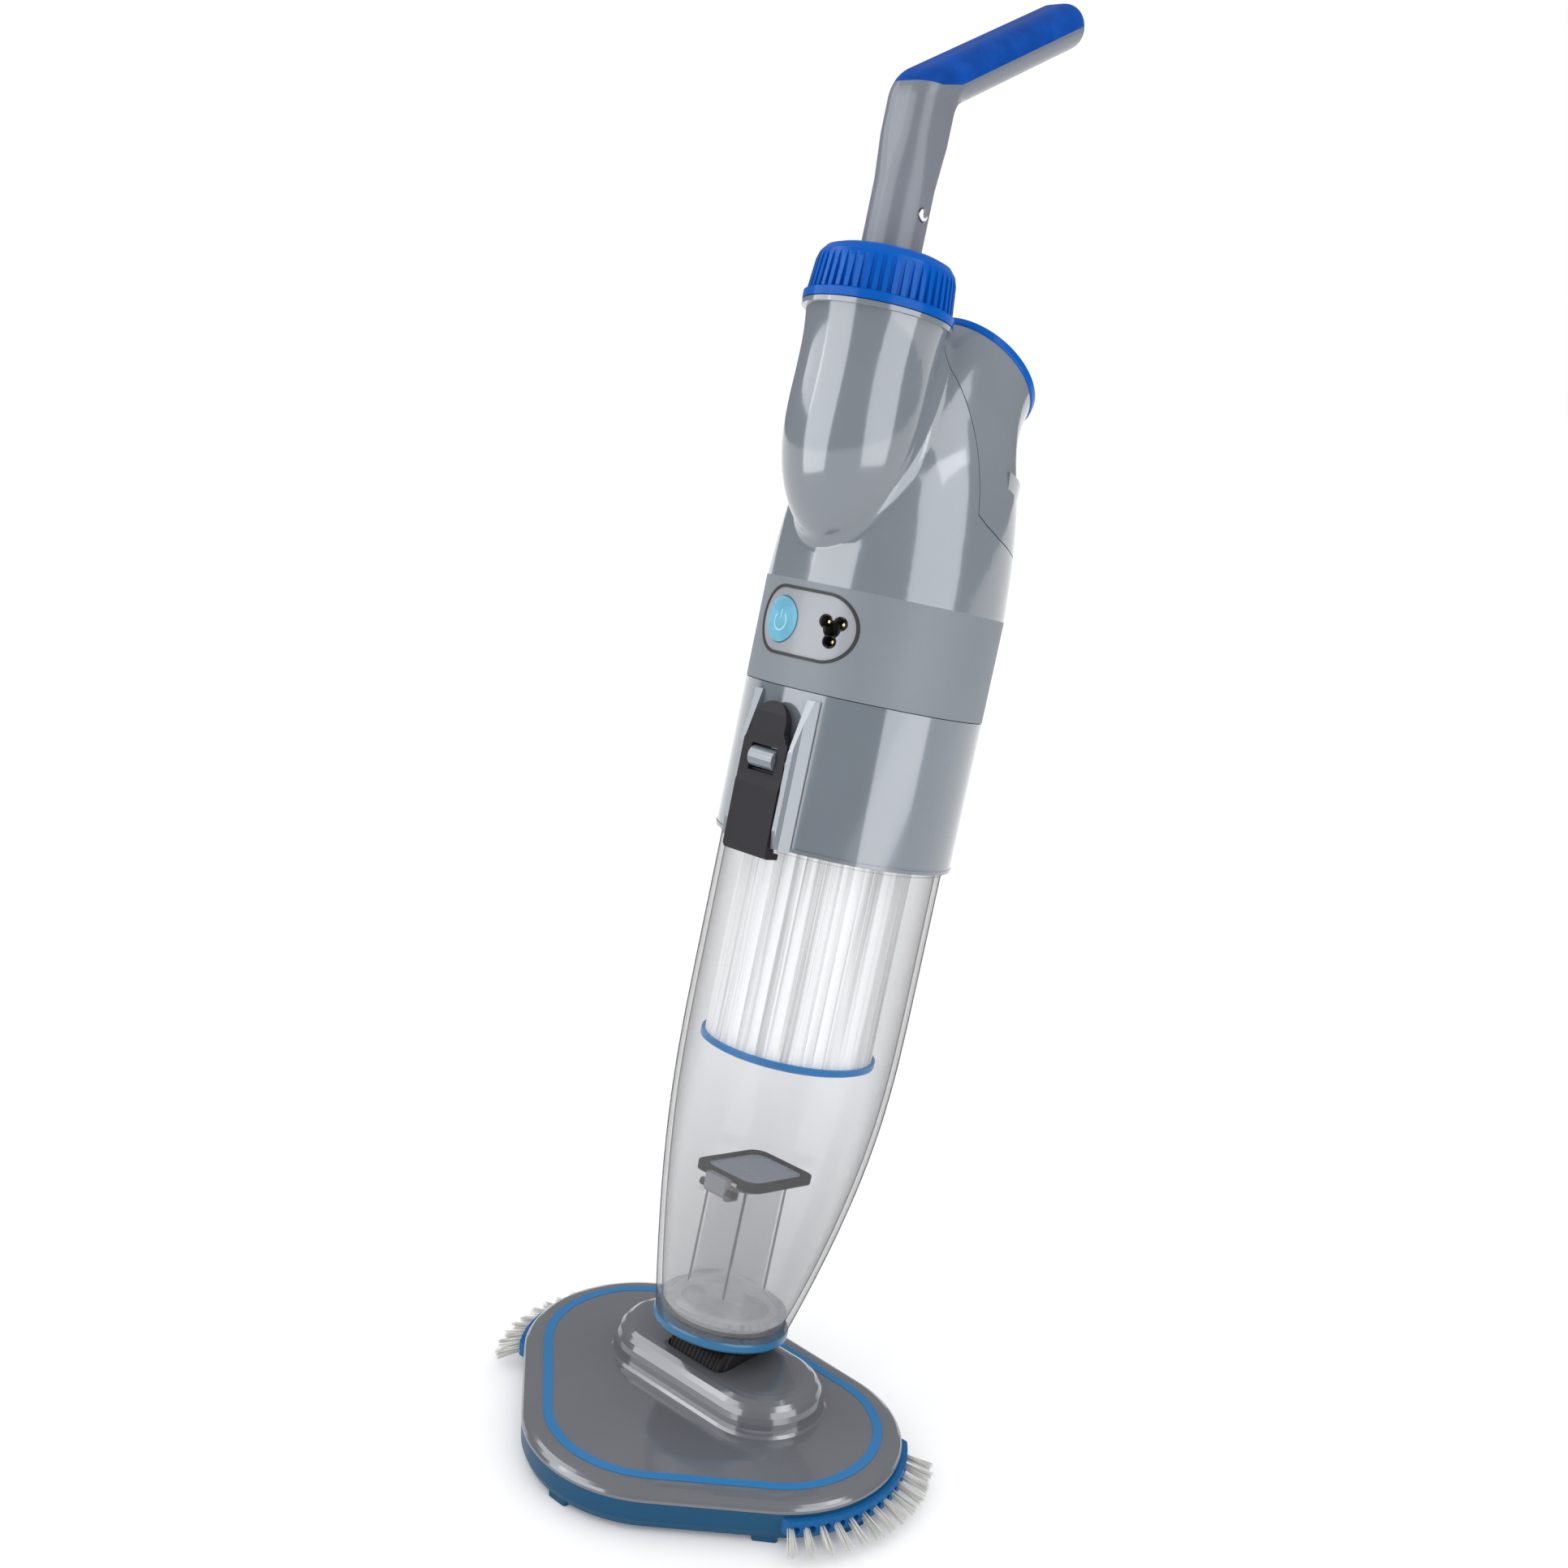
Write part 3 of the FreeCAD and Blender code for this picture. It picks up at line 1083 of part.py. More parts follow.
def bullet_form(inset, low_lift=0.0):
    """The pole socket's rounded housing, turned about the pole's axis."""
    radius, nose, low = float(D.bullet_r) - inset, float(D.bullet_nose), float(D.bullet_low) + low_lift
    top = float(D.collar_low)
    steps = 8
    curve = []
    for k in range(steps + 1):
        a = math.pi / 2 * k / steps
        curve.append(V(radius * (1.0 - 0.035) * math.sin(a), -float(D.pole_y), low + nose * (1 - math.cos(a))))
    spline = Part.BSplineCurve()
    spline.interpolate(curve + [V(radius, -float(D.pole_y), top)])
    rim, axis_top = curve[0], V(0, -float(D.pole_y), top)
    wire = Part.Wire([
        spline.toShape(),
        Part.LineSegment(V(radius, -float(D.pole_y), top), axis_top).toShape(),
        Part.LineSegment(axis_top, rim).toShape(),
    ])
    return Part.Face(wire).revolve(POLE, V(0, 0, 1), 360)


def housing_form():
    """Torso and bullet in one, with a fillet along the line where they cross."""
    parents = torso_form(0.0), bullet_form(0.0)
    joined = parents[0].fuse(parents[1])
    skins = [Part.Compound(parent.Faces) for parent in parents]
    crossing = []
    for edge in joined.Edges:
        first, last = edge.FirstParameter, edge.LastParameter
        spots = [Part.Vertex(edge.valueAt(first + (last - first) * share)) for share in (0.3, 0.5)]
        if all(skin.distToShape(spot)[0] < 0.02 for skin in skins for spot in spots):
            crossing.append(edge)
    return joined.makeFillet(float(D.blend_r), crossing)


SEAM_LINE = [
    (-17.5, MOUTH_H + 26.0), (-16.5, MOUTH_H - 12.0), (-14.4, MOUTH_H - 41.0), (-13.6, MOUTH_H - 78.7),
    (-7.0, MOUTH_H - 83.0), (4.0, MOUTH_H - 87.7), (21.0, MOUTH_H - 92.4), (62.0, MOUTH_H - 99.0),
]


def back_region(gap):
    """The space behind the seam between upper housing and rear cover."""
    seam = [(y - gap, z - gap) for y, z in SEAM_LINE]
    low, top = seam[-1][1], MOUTH_H + 90.0
    return prism(seam + [(120.0, low), (120.0, top), (seam[0][0], top)], 90)


HOUSING_OUTSIDE = housing_form()
SLEEVE_R = D.pole_r + D.pole_fit + D.collet_wall
SOCKET_LOW = 476.0


def upper_housing():
    """Glossy front half: the bullet of the pole socket blended onto the torso."""
    wall = float(D.house_wall)
    outer = HOUSING_OUTSIDE.cut(back_region(0.0))
    hollow = torso_form(wall).cut(back_region(0.0)).fuse(bullet_form(wall, wall))
    hollow = hollow.cut(cylinder(float(SLEEVE_R) + 2.6, 200, V(0, -float(D.pole_y), SOCKET_LOW - 2.5)))
    lid = cylinder(D.bullet_r, 3.0, V(0, -float(D.pole_y), float(D.collar_low) - 3.0))
    shell = outer.cut(hollow.cut(lid))
    flange = cylinder(float(D.collar_r) + 1.2, 2.4, V(0, -float(D.pole_y), float(D.collar_low) - 2.4))
    thread = cylinder(D.thread_r, float(D.collar_height) * 0.62, V(0, -float(D.pole_y), float(D.collar_low)))
    shell = shell.fuse(flange).fuse(thread)
    shell = shell.cut(cylinder(SLEEVE_R, 200, V(0, -float(D.pole_y), SOCKET_LOW)))
    return shell.removeSplitter()


def rear_cover():
    """Glossy back cover that carries the outlet chimney."""
    wall, gap = float(D.house_wall), float(D.seam_gap)
    step = loft([ring_wire(0, 2.1, MOUTH_H - 65.0, 55.1, 6.3), ring_wire(0, 4.5, MOUTH_H - 52.0, 53.8, 9.9)])
    step = step.common(block(-70, 70, 10, 80, MOUTH_H - 90.0, MOUTH_H - 30.0))
    outer = HOUSING_OUTSIDE.fuse(step).common(back_region(-gap))
    cover = outer.cut(torso_form(wall))
    cover = cover.cut(bullet_form(-gap)).cut(
        cylinder(float(D.collar_r) + 1.2 + gap, 60, V(0, -float(D.pole_y), float(D.collar_low) - 2.4 - gap))
    )
    for screw in cover_screw_forms(0.0):
        cover = cover.cut(screw)
    return max(cover.Solids, key=lambda s: s.Volume)


COVER_SCREWS = [(-26.0, 468.0), (26.0, 468.0)]


def cover_screw_forms(gap):
    """Two screws that hold the cover's foot, driven from behind."""
    forms = []
    for x, z in COVER_SCREWS:
        shank = cylinder(1.8 - gap, 22.0, V(x, 36.0, z), V(0, 1, 0))
        head = cylinder(3.6 - gap, 12.0, V(x, 50.0, z), V(0, 1, 0))
        forms.append(shank.fuse(head))
    return forms


formed("upper_housing", upper_housing(), WAND)
formed("rear_cover", rear_cover(), WAND)
screw_skin = torso_form(0.8)
formed("cover_screws", Part.makeCompound([s.common(screw_skin) for s in cover_screw_forms(0.0)]), WAND)

MOUTH_PLACE = WAND * FreeCAD.Placement(RING_SEAT, FreeCAD.Rotation(V(1, 0, 0), -MOUTH_TILT))
turned(
    "outlet_ring",
    [
        (D.mouth_r - 5.0, -6.0), (D.mouth_r - D.house_wall - 0.5, -6.0), (D.mouth_r - D.house_wall - 0.5, 0.0),
        (D.mouth_r, 0.0), (D.mouth_r + 0.3, 1.0), (D.mouth_r, D.mouth_ring - 1.2),
        (D.mouth_r - 1.6, D.mouth_ring), (D.mouth_r - 3.6, D.mouth_ring), (D.mouth_r - 5.0, D.mouth_ring - 1.6),
    ],
    MOUTH_PLACE,
)


def outlet_pipe():
    """Pipe from the pump up the back of the housing to the outlet, with an end flange in the chimney."""
    radius, wall = float(D.pipe_r), float(D.pipe_wall)
    end = RING_SEAT - MOUTH_AXIS * 6.0
    turn = end - MOUTH_AXIS * 12.0
    y = float(D.pipe_y)
    path = [V(0, y, float(MOTOR_LOW)), V(0, y, float(D.pipe_bend)), turn, end]
    flange = cylinder(float(D.mouth_r) - 5.0, 2.0, end, MOUTH_AXIS)
    pipe = pipe_form(path, radius).fuse(flange)
    mouth = cylinder(radius - wall, 12.0, end - MOUTH_AXIS * 4.0, MOUTH_AXIS)
    inlet = cylinder(radius - wall, 12.0, path[0] - V(0, 0, 4.0))
    return pipe.cut(pipe_form(path, radius - wall).fuse(mouth).fuse(inlet)).removeSplitter()


def pipe_form(path, radius):
    """Straight rods along a path with balls at its bends."""
    form = cylinder(radius, path[0].distanceToPoint(path[1]), path[0], path[1] - path[0])
    for first, last in zip(path[1:], path[2:]):
        form = form.fuse(cylinder(radius, first.distanceToPoint(last), first, last - first))
        form = form.fuse(Part.makeSphere(radius, first))
    return form


formed("outlet_pipe", outlet_pipe(), WAND)

# ---------------------------------------------------------------- pole socket: sleeve and collar

POLE_PLACE = WAND * shift(0, -D.pole_y, 0)


def socket_sleeve():
    """Grey sleeve in the socket, split into gripping fingers at its top."""
    inner = float(D.pole_r) + float(D.pole_fit)
    top = float(D.collar_low) + float(D.collar_height) + 1.2
    sleeve = cylinder(SLEEVE_R, top - SOCKET_LOW, V(0, 0, SOCKET_LOW))
    sleeve = sleeve.cut(cylinder(inner, 200, V(0, 0, SOCKET_LOW + 3.0)))
    for k in range(3):
        slot = block(-0.9, 0.9, -30, 30, top - 26.0, top + 1)
        slot.rotate(V(0, 0, 0), V(0, 0, 1), 30 + 60 * k)
        sleeve = sleeve.cut(slot)
    return sleeve


formed("socket_sleeve", socket_sleeve(), POLE_PLACE)

# knurled blue collar: a turned cap with grooves cut all round
body = new_body("collar")
tall = D.collar_height
revolve(
    body,
    [
        (D.thread_r + 0.3, 0.4), (D.collar_r + 1.6, 0.4), (D.collar_r + 1.6, 4.4), (D.collar_r + 0.2, 5.2),
        (D.collar_r - 1.2, tall - 9.0), (D.collar_r - 2.4, tall - 5.0), (D.collar_r - 5.0, tall - 1.8),
        (D.collar_r - 9.0, tall - 0.3), (D.collar_r - 12.0, tall), (SLEEVE_R + 2.0, tall),
        (SLEEVE_R + 2.0, tall - 3.0), (D.collar_r - 9.0, tall - 4.5), (D.thread_r + 0.3, tall - 10.0),
    ],
)
rib_half = (D.collar_r) * (math.pi / float(D.rib_count)) * 0.42
rib = polygon(
    body, "XY_Plane",
    [
        (D.collar_r - 1.2 - D.rib_cut, -rib_half), (D.collar_r + 4.0, -rib_half - 0.6),
        (D.collar_r + 4.0, rib_half + 0.6), (D.collar_r - 1.2 - D.rib_cut, rib_half),
    ],
    5.2,
)
cut = feature(body, "Pocket", rib, Length=tall - 12.0, Reversed=True)
polar(body, [cut], D.rib_count)
keep(body, "collar", WAND * shift(0, -D.pole_y, D.collar_low))

# ---------------------------------------------------------------- handle

RISE = math.radians(float(D.grip_rise))
GRIP = V(0, math.cos(RISE), math.sin(RISE))
GRIP_UP = V(0, -math.sin(RISE), math.cos(RISE))
ELBOW = V(0, 0, ELBOW_H)
ACROSS = V(1, 0, 0)


def soft_wire(corners):
    """A side-view wire through (y, z) corners, each rounded by its own radius."""
    count = len(corners)
    points = [V(0, y, z) for y, z, _ in corners]
    edges, ends = [], []
    for i, (_, _, radius) in enumerate(corners):
        here = points[i]
        back = (points[i - 1] - here).normalize()
        ahead = (points[(i + 1) % count] - here).normalize()
        half = back.getAngle(ahead) / 2
        if radius <= 0:
            ends.append((here, here))
            continue
        run = radius / math.tan(half)
        middle = here + (back + ahead).normalize() * (radius / math.sin(half) - radius)
        ends.append((here + back * run, here + ahead * run))
        edges.append(Part.Arc(ends[-1][0], middle, ends[-1][1]).toShape())
    for i in range(count):
        edges.append(Part.LineSegment(ends[i][1], ends[(i + 1) % count][0]).toShape())
    return Part.Wire(Part.__sortEdges__(edges))


def soft_bar(corners, half, rounding, cut_low):
    """A bar with that side view, its long edges rounded, cut off square at the bottom."""
    bar = Part.Face(soft_wire(corners)).extrude(V(2 * half, 0, 0))
    bar.translate(V(-half, 0, 0))
    rims = [e for e in bar.Edges if e.BoundBox.XLength < 0.001]
    bar = bar.makeFillet(rounding, rims)
    return bar.cut(block(-40, 40, -60, 60, cut_low - 80, cut_low))


def handle_form(inset):
    """The handle's outer form above its tube, inset all round."""
    leg, half = float(D.pole_r) - inset, float(D.grip_thick) / 2 - inset
    low = ELBOW_H - 24.0
    above, below = ELBOW + GRIP_UP * half, ELBOW - GRIP_UP * half
    outer = above - GRIP * ((above.y + leg) / GRIP.y)
    inner = below + GRIP * ((leg - below.y) / GRIP.y)
    reach = GRIP * (float(D.grip_length) - inset)
    high_end, low_end = above + reach, below + reach
    rounding = 10.4 - inset
    corners = [
        (-leg, low - 40, 0), (outer.y, outer.z, float(D.elbow_outer) - inset), (high_end.y, high_end.z, rounding + 0.4),
        (low_end.y, low_end.z, rounding + 0.4), (inner.y, inner.z, float(D.elbow_inner) + inset), (leg, low - 40, 0),
    ]
    wide = float(D.grip_width) / 2 - inset
    bar = soft_bar(corners, wide, rounding, low)
    join = rounded_wire(V(0, 0, low), ACROSS, V(0, 1, 0), 2 * wide, 2 * leg, rounding)
    blend = loft([rounded_wire(V(0, 0, low - 21), ACROSS, V(0, 1, 0), 2 * leg, 2 * leg, leg * 0.995), join])
    return bar.fuse(blend)


def pad_region():
    """The space above the split line between the grey handle and its blue pad."""
    length = float(D.grip_length)
    low = ELBOW + GRIP_UP * -1.0
    end = low + GRIP * (length - 4.0)
    points = [
        (-40.0, ELBOW_H - 2.0), (-4.0, ELBOW_H + 1.0), (low.y + 12.0 * GRIP.y, low.z + 12.0 * GRIP.z),
        (end.y, end.z), (end.y + 12, end.z - 6), (end.y + 40, end.z + 60), (-40.0, end.z + 60),
    ]
    return prism(points, 40)


def handle_parts():
    """The grey handle with its tube, and the blue pad that wraps the grip's top."""
    outer = handle_form(0.0)
    core = handle_form(float(D.pad_thick))
    pad = outer.common(pad_region()).cut(core)
    pad = max(pad.Solids, key=lambda s: s.Volume)
    grey = outer.cut(pad)
    lower = cylinder(D.pole_r, ELBOW_H - 45.0 - float(D.tube_low), V(0, 0, float(D.tube_low)))
    grey = grey.fuse(lower)
    inner = float(D.pole_r) - float(D.tube_wall)
    grey = grey.cut(cylinder(inner, SNAP_H + 20 - float(D.tube_low) + 1, V(0, 0, float(D.tube_low) - 1)))
    hole = float(D.snap_r) + 0.35
    grey = grey.cut(cylinder(hole, 40, V(-20, 0, SNAP_H), V(1, 0, 0)))
    return grey.removeSplitter(), pad


grey, pad = handle_parts()
formed("handle_body", grey, POLE_PLACE)
formed("grip_pad", pad, POLE_PLACE)

SNAP_ROOT = SNAP_H - float(D.snap_arm)


def snap_arm(side):
    """One leaf of the spring clip with its locking button."""
    inner = float(D.pole_r) - float(D.tube_wall)
    x_in = inner - 1.6
    leaf = prism([(-3.5, SNAP_ROOT), (3.5, SNAP_ROOT), (3.5, SNAP_H + 6), (-3.5, SNAP_H + 6)],
                 0.45, side * (x_in - 0.45))
    button = cylinder(D.snap_r, float(D.pole_r) + 1.6 - x_in, V(side * x_in, 0, SNAP_H), V(side, 0, 0))
    dome = Part.makeSphere(6.2, V(side * (float(D.pole_r) + 1.6 - 6.0), 0, SNAP_H))
    return leaf.fuse(button.common(dome.fuse(cylinder(D.snap_r, float(D.pole_r) - 6 + 1.6, V(0, 0, SNAP_H),
                                                      V(side, 0, 0))))).removeSplitter()


for side, word in ((-1, "left"), (1, "right")):
    formed("snap_arm_" + word, snap_arm(side), POLE_PLACE)


def snap_bend():
    """The clip's bend, which springs against the tube's wall below the leaves."""
    inner = float(D.pole_r) - float(D.tube_wall) - 0.3
    ring = Part.makeCylinder(inner - 1.0, 7.0, V(0, -3.5, SNAP_ROOT - inner), V(0, 1, 0))
    ring = ring.cut(Part.makeCylinder(inner - 1.9, 7.0, V(0, -3.5, SNAP_ROOT - inner), V(0, 1, 0)))
    ring = ring.cut(block(-20, 20, -10, 10, SNAP_ROOT - inner, SNAP_ROOT + 10))
    legs = [prism([(-3.5, SNAP_ROOT - inner), (3.5, SNAP_ROOT - inner), (3.5, SNAP_ROOT - 0.3), (-3.5, SNAP_ROOT - 0.3)],
                  0.45, side * (inner - 1.45)) for side in (-1, 1)]
    for leg in legs:
        ring = ring.fuse(leg)
    return ring.removeSplitter()


formed("snap_bend", snap_bend(), POLE_PLACE)

# ---------------------------------------------------------------- check and write

doc.recompute()
for item in doc.Objects:
    if any(flag in item.State for flag in ("Invalid", "Error")):
        raise RuntimeError("%s failed: %s" % (item.Name, item.State))
os.makedirs("parts", exist_ok=True)
for item in PARTS:
    shape = item.Shape
    if shape.isNull() or not shape.isValid() or not shape.Solids:
        raise RuntimeError("%s has no valid shape" % item.Label)
    shape.exportStep("parts/%s.step" % item.Label)
    box = shape.BoundBox
    print("%-20s solids %2d  volume %9.1f  z %6.1f .. %6.1f" % (
        item.Label, len(shape.Solids), shape.Volume, box.ZMin, box.ZMax))
print("%d sub-parts" % len(PARTS))
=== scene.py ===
"""Looks of the cordless pool and spa vacuum cleaner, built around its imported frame. Metres, +Z up, -Y the front."""
import json
import math
import random

import bmesh
import bpy
from mathutils import Matrix, Vector


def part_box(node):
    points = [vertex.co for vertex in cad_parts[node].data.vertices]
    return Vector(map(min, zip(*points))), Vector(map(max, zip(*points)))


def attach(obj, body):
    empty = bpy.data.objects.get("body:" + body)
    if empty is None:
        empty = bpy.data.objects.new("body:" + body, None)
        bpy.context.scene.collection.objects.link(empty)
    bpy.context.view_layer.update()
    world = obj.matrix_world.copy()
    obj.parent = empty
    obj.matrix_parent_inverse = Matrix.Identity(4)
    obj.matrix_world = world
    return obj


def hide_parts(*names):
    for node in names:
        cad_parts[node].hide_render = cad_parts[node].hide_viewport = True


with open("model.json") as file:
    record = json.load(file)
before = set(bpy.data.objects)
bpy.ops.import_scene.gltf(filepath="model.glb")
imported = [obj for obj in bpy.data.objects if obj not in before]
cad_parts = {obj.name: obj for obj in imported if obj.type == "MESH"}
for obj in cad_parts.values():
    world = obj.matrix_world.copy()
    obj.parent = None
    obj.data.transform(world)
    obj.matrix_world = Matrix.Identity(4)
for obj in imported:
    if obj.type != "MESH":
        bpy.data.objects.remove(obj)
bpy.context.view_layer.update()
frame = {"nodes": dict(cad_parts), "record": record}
NODES = frame["nodes"]

# ---------------------------------------------------------------- frame of the leaning wand

MM = 0.001
LEAN = math.radians(11.3)
PIVOT = (0, 0.0112, 0.030)
WAND = Matrix.Translation(PIVOT) @ Matrix.Rotation(-LEAN, 4, "X")
WAND_SIDE = Vector((1, 0, 0))
WAND_BACK = (WAND.to_3x3() @ Vector((0, 1, 0))).normalized()


def on_wand(x, y, z):
    """A point from millimetres in the wand's own frame, whose Z runs up the wand."""
    return WAND @ (Vector((x, y, z)) * MM)


# ---------------------------------------------------------------- materials


class Shader:
    """A small builder for a material's node tree."""

    def __init__(self, name):
        self.material = bpy.data.materials.new(name)
        self.material.use_nodes = True
        self.nodes = self.material.node_tree.nodes
        self.links = self.material.node_tree.links
        self.principled = self.nodes["Principled BSDF"]
        self.output = self.nodes["Material Output"]
        self.coords = self.add("TexCoord").outputs["Object"]
        self.normal = None

    def add(self, kind, **settings):
        """A new node; a setting is one of its properties, or else the plain value of an input."""
        node = self.nodes.new("ShaderNode" + kind)
        for key, value in settings.items():
            if hasattr(node, key):
                setattr(node, key, value)
            else:
                node.inputs[key.replace("_", " ")].default_value = value
        return node

    def link(self, source, target):
        """Joins two sockets."""
        self.links.new(source, target)

    def feed(self, source, name):
        """Joins a socket to an input of the main shader."""
        self.link(source, self.principled.inputs[name])

    def set(self, **values):
        """Plain values on the main shader."""
        for key, value in values.items():
            self.principled.inputs[key.replace("_", " ")].default_value = value

    def noise(self, scale, detail=3.0, stretch=None, roughness=0.55, source=None):
        """Noise in the object's own space, or in another source's; stretch scales its three axes."""
        node = self.add("TexNoise", Scale=scale, Detail=detail, Roughness=roughness)
        vector = self.coords if source is None else source
        if stretch:
            mapping = self.add("Mapping", Scale=stretch)
            self.link(vector, mapping.inputs["Vector"])
            vector = mapping.outputs["Vector"]
        self.link(vector, node.inputs["Vector"])
        return node.outputs["Fac"]

    def reckon(self, operation, first, second, **settings):
        """The result of a sum on two sockets, or on a socket and a number."""
        node = self.add("Math", operation=operation, **settings)
        for value, socket in zip((first, second), node.inputs):
            if isinstance(value, float):
                socket.default_value = value
            else:
                self.link(value, socket)
        return node.outputs["Value"]

    def spread(self, source, low, high, start=0.35, stop=0.65):
        """Maps a factor to a range of numbers."""
        node = self.add("MapRange", From_Min=start, From_Max=stop, To_Min=low, To_Max=high)
        self.link(source, node.inputs["Value"])
        return node.outputs["Result"]

    def tint(self, source, first, second, start=0.35, stop=0.65):
        """A colour between two others by a factor."""
        node = self.add("ValToRGB")
        low, high = node.color_ramp.elements
        low.position, high.position = start, stop
        low.color, high.color = (*first, 1.0), (*second, 1.0)
        self.link(source, node.inputs["Fac"])
        return node.outputs["Color"]

    def bump(self, height, strength, distance):
        """Adds a bump from a height on top of the bumps before it."""
        node = self.add("Bump", Strength=strength, Distance=distance)
        self.link(height, node.inputs["Height"])
        if self.normal is not None:
            self.link(self.normal, node.inputs["Normal"])
        self.normal = node.outputs["Normal"]
        self.feed(self.normal, "Normal")


def shade(color, factor):
    """A lighter or darker version of a colour."""
    return tuple(min(1.0, c * factor) for c in color)


def moulded(name, color, rough, grain=0.0, gloss=0.0, mottle=0.05, orange=0.0, scuff=0.04, level=0.5):
    """Moulded plastic: faint colour drift, uneven gloss, orange peel or a fine grain, and a clear top gloss."""
    s = Shader(name)
    drift = s.noise(9.0, 4.0)
    s.feed(s.tint(drift, shade(color, 1 - mottle), shade(color, 1 + mottle)), "Base Color")
    smear = s.noise(38.0, 5.0, (1.0, 1.0, 0.35))
    s.feed(s.spread(smear, max(0.02, rough - scuff), rough + scuff), "Roughness")
    if orange:
        s.bump(s.noise(420.0, 1.5), strength=orange, distance=0.00012)
    if grain:
        s.bump(s.noise(2600.0, 2.0), strength=grain, distance=0.00008)
    s.set(Coat_Weight=gloss, Coat_Roughness=0.05, IOR=1.5, Specular_IOR_Level=level)
    return s.material


def metal(name, color, rough, brushed=True):
    """Steel or brass with fine brushing."""
    s = Shader(name)
    streak = s.noise(240.0, 3.0, (1.0, 9.0, 9.0) if brushed else None)
    s.feed(s.tint(streak, shade(color, 0.9), shade(color, 1.06)), "Base Color")
    s.feed(s.spread(streak, rough * 0.75, rough * 1.3), "Roughness")
    s.bump(streak, strength=0.12, distance=0.00005)
    s.set(Metallic=1.0)
    return s.material


def rubber(name, color, rough, level=0.5):
    """Soft rubber with a fine dusty grain."""
    s = Shader(name)
    dust = s.noise(60.0, 5.0)
    s.feed(s.tint(dust, shade(color, 0.85), shade(color, 1.25)), "Base Color")
    s.feed(s.spread(dust, rough - 0.06, rough + 0.06), "Roughness")
    s.bump(s.noise(3000.0, 2.0), strength=0.15, distance=0.00008)
    s.set(IOR=1.45, Specular_IOR_Level=level)
    return s.material


def wand_place(s):
    """The angle round the wand's axis, in radians and negative in front, and the height along it, in metres."""
    turn = s.add("Mapping", vector_type="TEXTURE", Location=PIVOT, Rotation=(-LEAN, 0, 0))
    s.link(s.coords, turn.inputs["Vector"])
    split = s.add("SeparateXYZ")
    s.link(turn.outputs["Vector"], split.inputs["Vector"])
    return s.reckon("ARCTAN2", split.outputs["Y"], split.outputs["X"]), split.outputs["Z"]


def clear_plastic(name, tint, face, edge, rough, see_tint, foot=None, painted_glow=0.0):
    """Clear moulded plastic with faint flow marks, more solid towards its outline, where painted shade darkens its
    colour.

    face and edge are how solid it looks face on and at its outline. foot is (low, high, solid): its least solidity
    falls from solid at the low height of the wand to nothing at the high one. The last argument is painted light:
    a faint glow that lifts what other layers shade.
    """
    s = Shader(name)
    facing = s.add("LayerWeight", Blend=0.5).outputs["Facing"]
    flow = s.noise(14.0, 4.0, (1.0, 1.0, 0.12))
    body = s.spread(s.reckon("POWER", facing, 3.4), face, edge, 0.0, 1.0)
    if foot:
        low, high, solid = foot
        _, height = wand_place(s)
        body = s.reckon("MAXIMUM", body, s.spread(height, solid, 0.0, low, high))
    body = s.reckon("ADD", body, s.spread(flow, 0.0, 0.04), use_clamp=True)
    # Painted shade: the colour darkens towards the outline.
    s.feed(s.tint(facing, tint, shade(tint, 0.25), 0.55, 0.92), "Base Color")
    s.feed(s.spread(flow, rough, rough + 0.05), "Roughness")
    s.bump(s.noise(30.0, 2.0, (1.0, 1.0, 0.2)), strength=0.05, distance=0.0006)
    for gloss, most in (("Specular IOR Level", 1.0), ("Coat Weight", 0.6)):
        s.feed(s.spread(facing, most, 0.0, 0.62, 0.86), gloss)
    # The emission is a painted glow that lightens what other layers shade.
    s.set(IOR=1.5, Coat_Roughness=0.03, Emission_Color=(0.9, 0.92, 0.95, 1.0), Emission_Strength=painted_glow)
    see = s.add("BsdfTransparent", Color=(*see_tint, 1.0))
    mix = s.add("MixShader")
    s.link(body, mix.inputs["Fac"])
    s.link(see.outputs["BSDF"], mix.inputs[1])
    s.link(s.principled.outputs["BSDF"], mix.inputs[2])
    s.link(mix.outputs["Shader"], s.output.inputs["Surface"])
    return s.material


def pleated_cloth(name, color):
    """Uneven cloth folds round the wand's axis with a fibre grain, painted shade in the folds and behind, and a
    painted glow.
    """
    s = Shader(name)
    angle, height = wand_place(s)
    spot = s.add("CombineXYZ")
    s.link(angle, spot.inputs["X"])
    s.link(height, spot.inputs["Z"])
    folds = s.noise(17.0, 4.0, (1.0, 1.0, 0.12), 0.6, spot.outputs["Vector"])
    multiply = s.add("Mix", data_type="RGBA", blend_type="MULTIPLY")
    factor, first, second = (multiply.inputs[k] for k in (0, 6, 7))
    factor.default_value = 1.0
    # Painted shade: the folds are darker in their depths.
    s.link(s.tint(folds, shade(color, 0.5), shade(color, 1.02), 0.36, 0.5), first)
    # Painted shade: the half behind the wand's axis is darker.
    s.link(s.tint(angle, color, shade(color, 0.72), 0.0, 0.0), second)
    s.feed(multiply.outputs[2], "Base Color")
    s.bump(folds, strength=0.5, distance=0.002)
    s.bump(s.noise(900.0, 4.0, (1.0, 1.0, 0.25)), strength=0.2, distance=0.0002)
    # The emission is a painted glow that lightens the cloth as if lit from behind.
    s.set(Roughness=0.85, Sheen_Weight=0.1, Emission_Color=(1.0, 1.0, 1.0, 1.0), Emission_Strength=0.24)
    return s.material


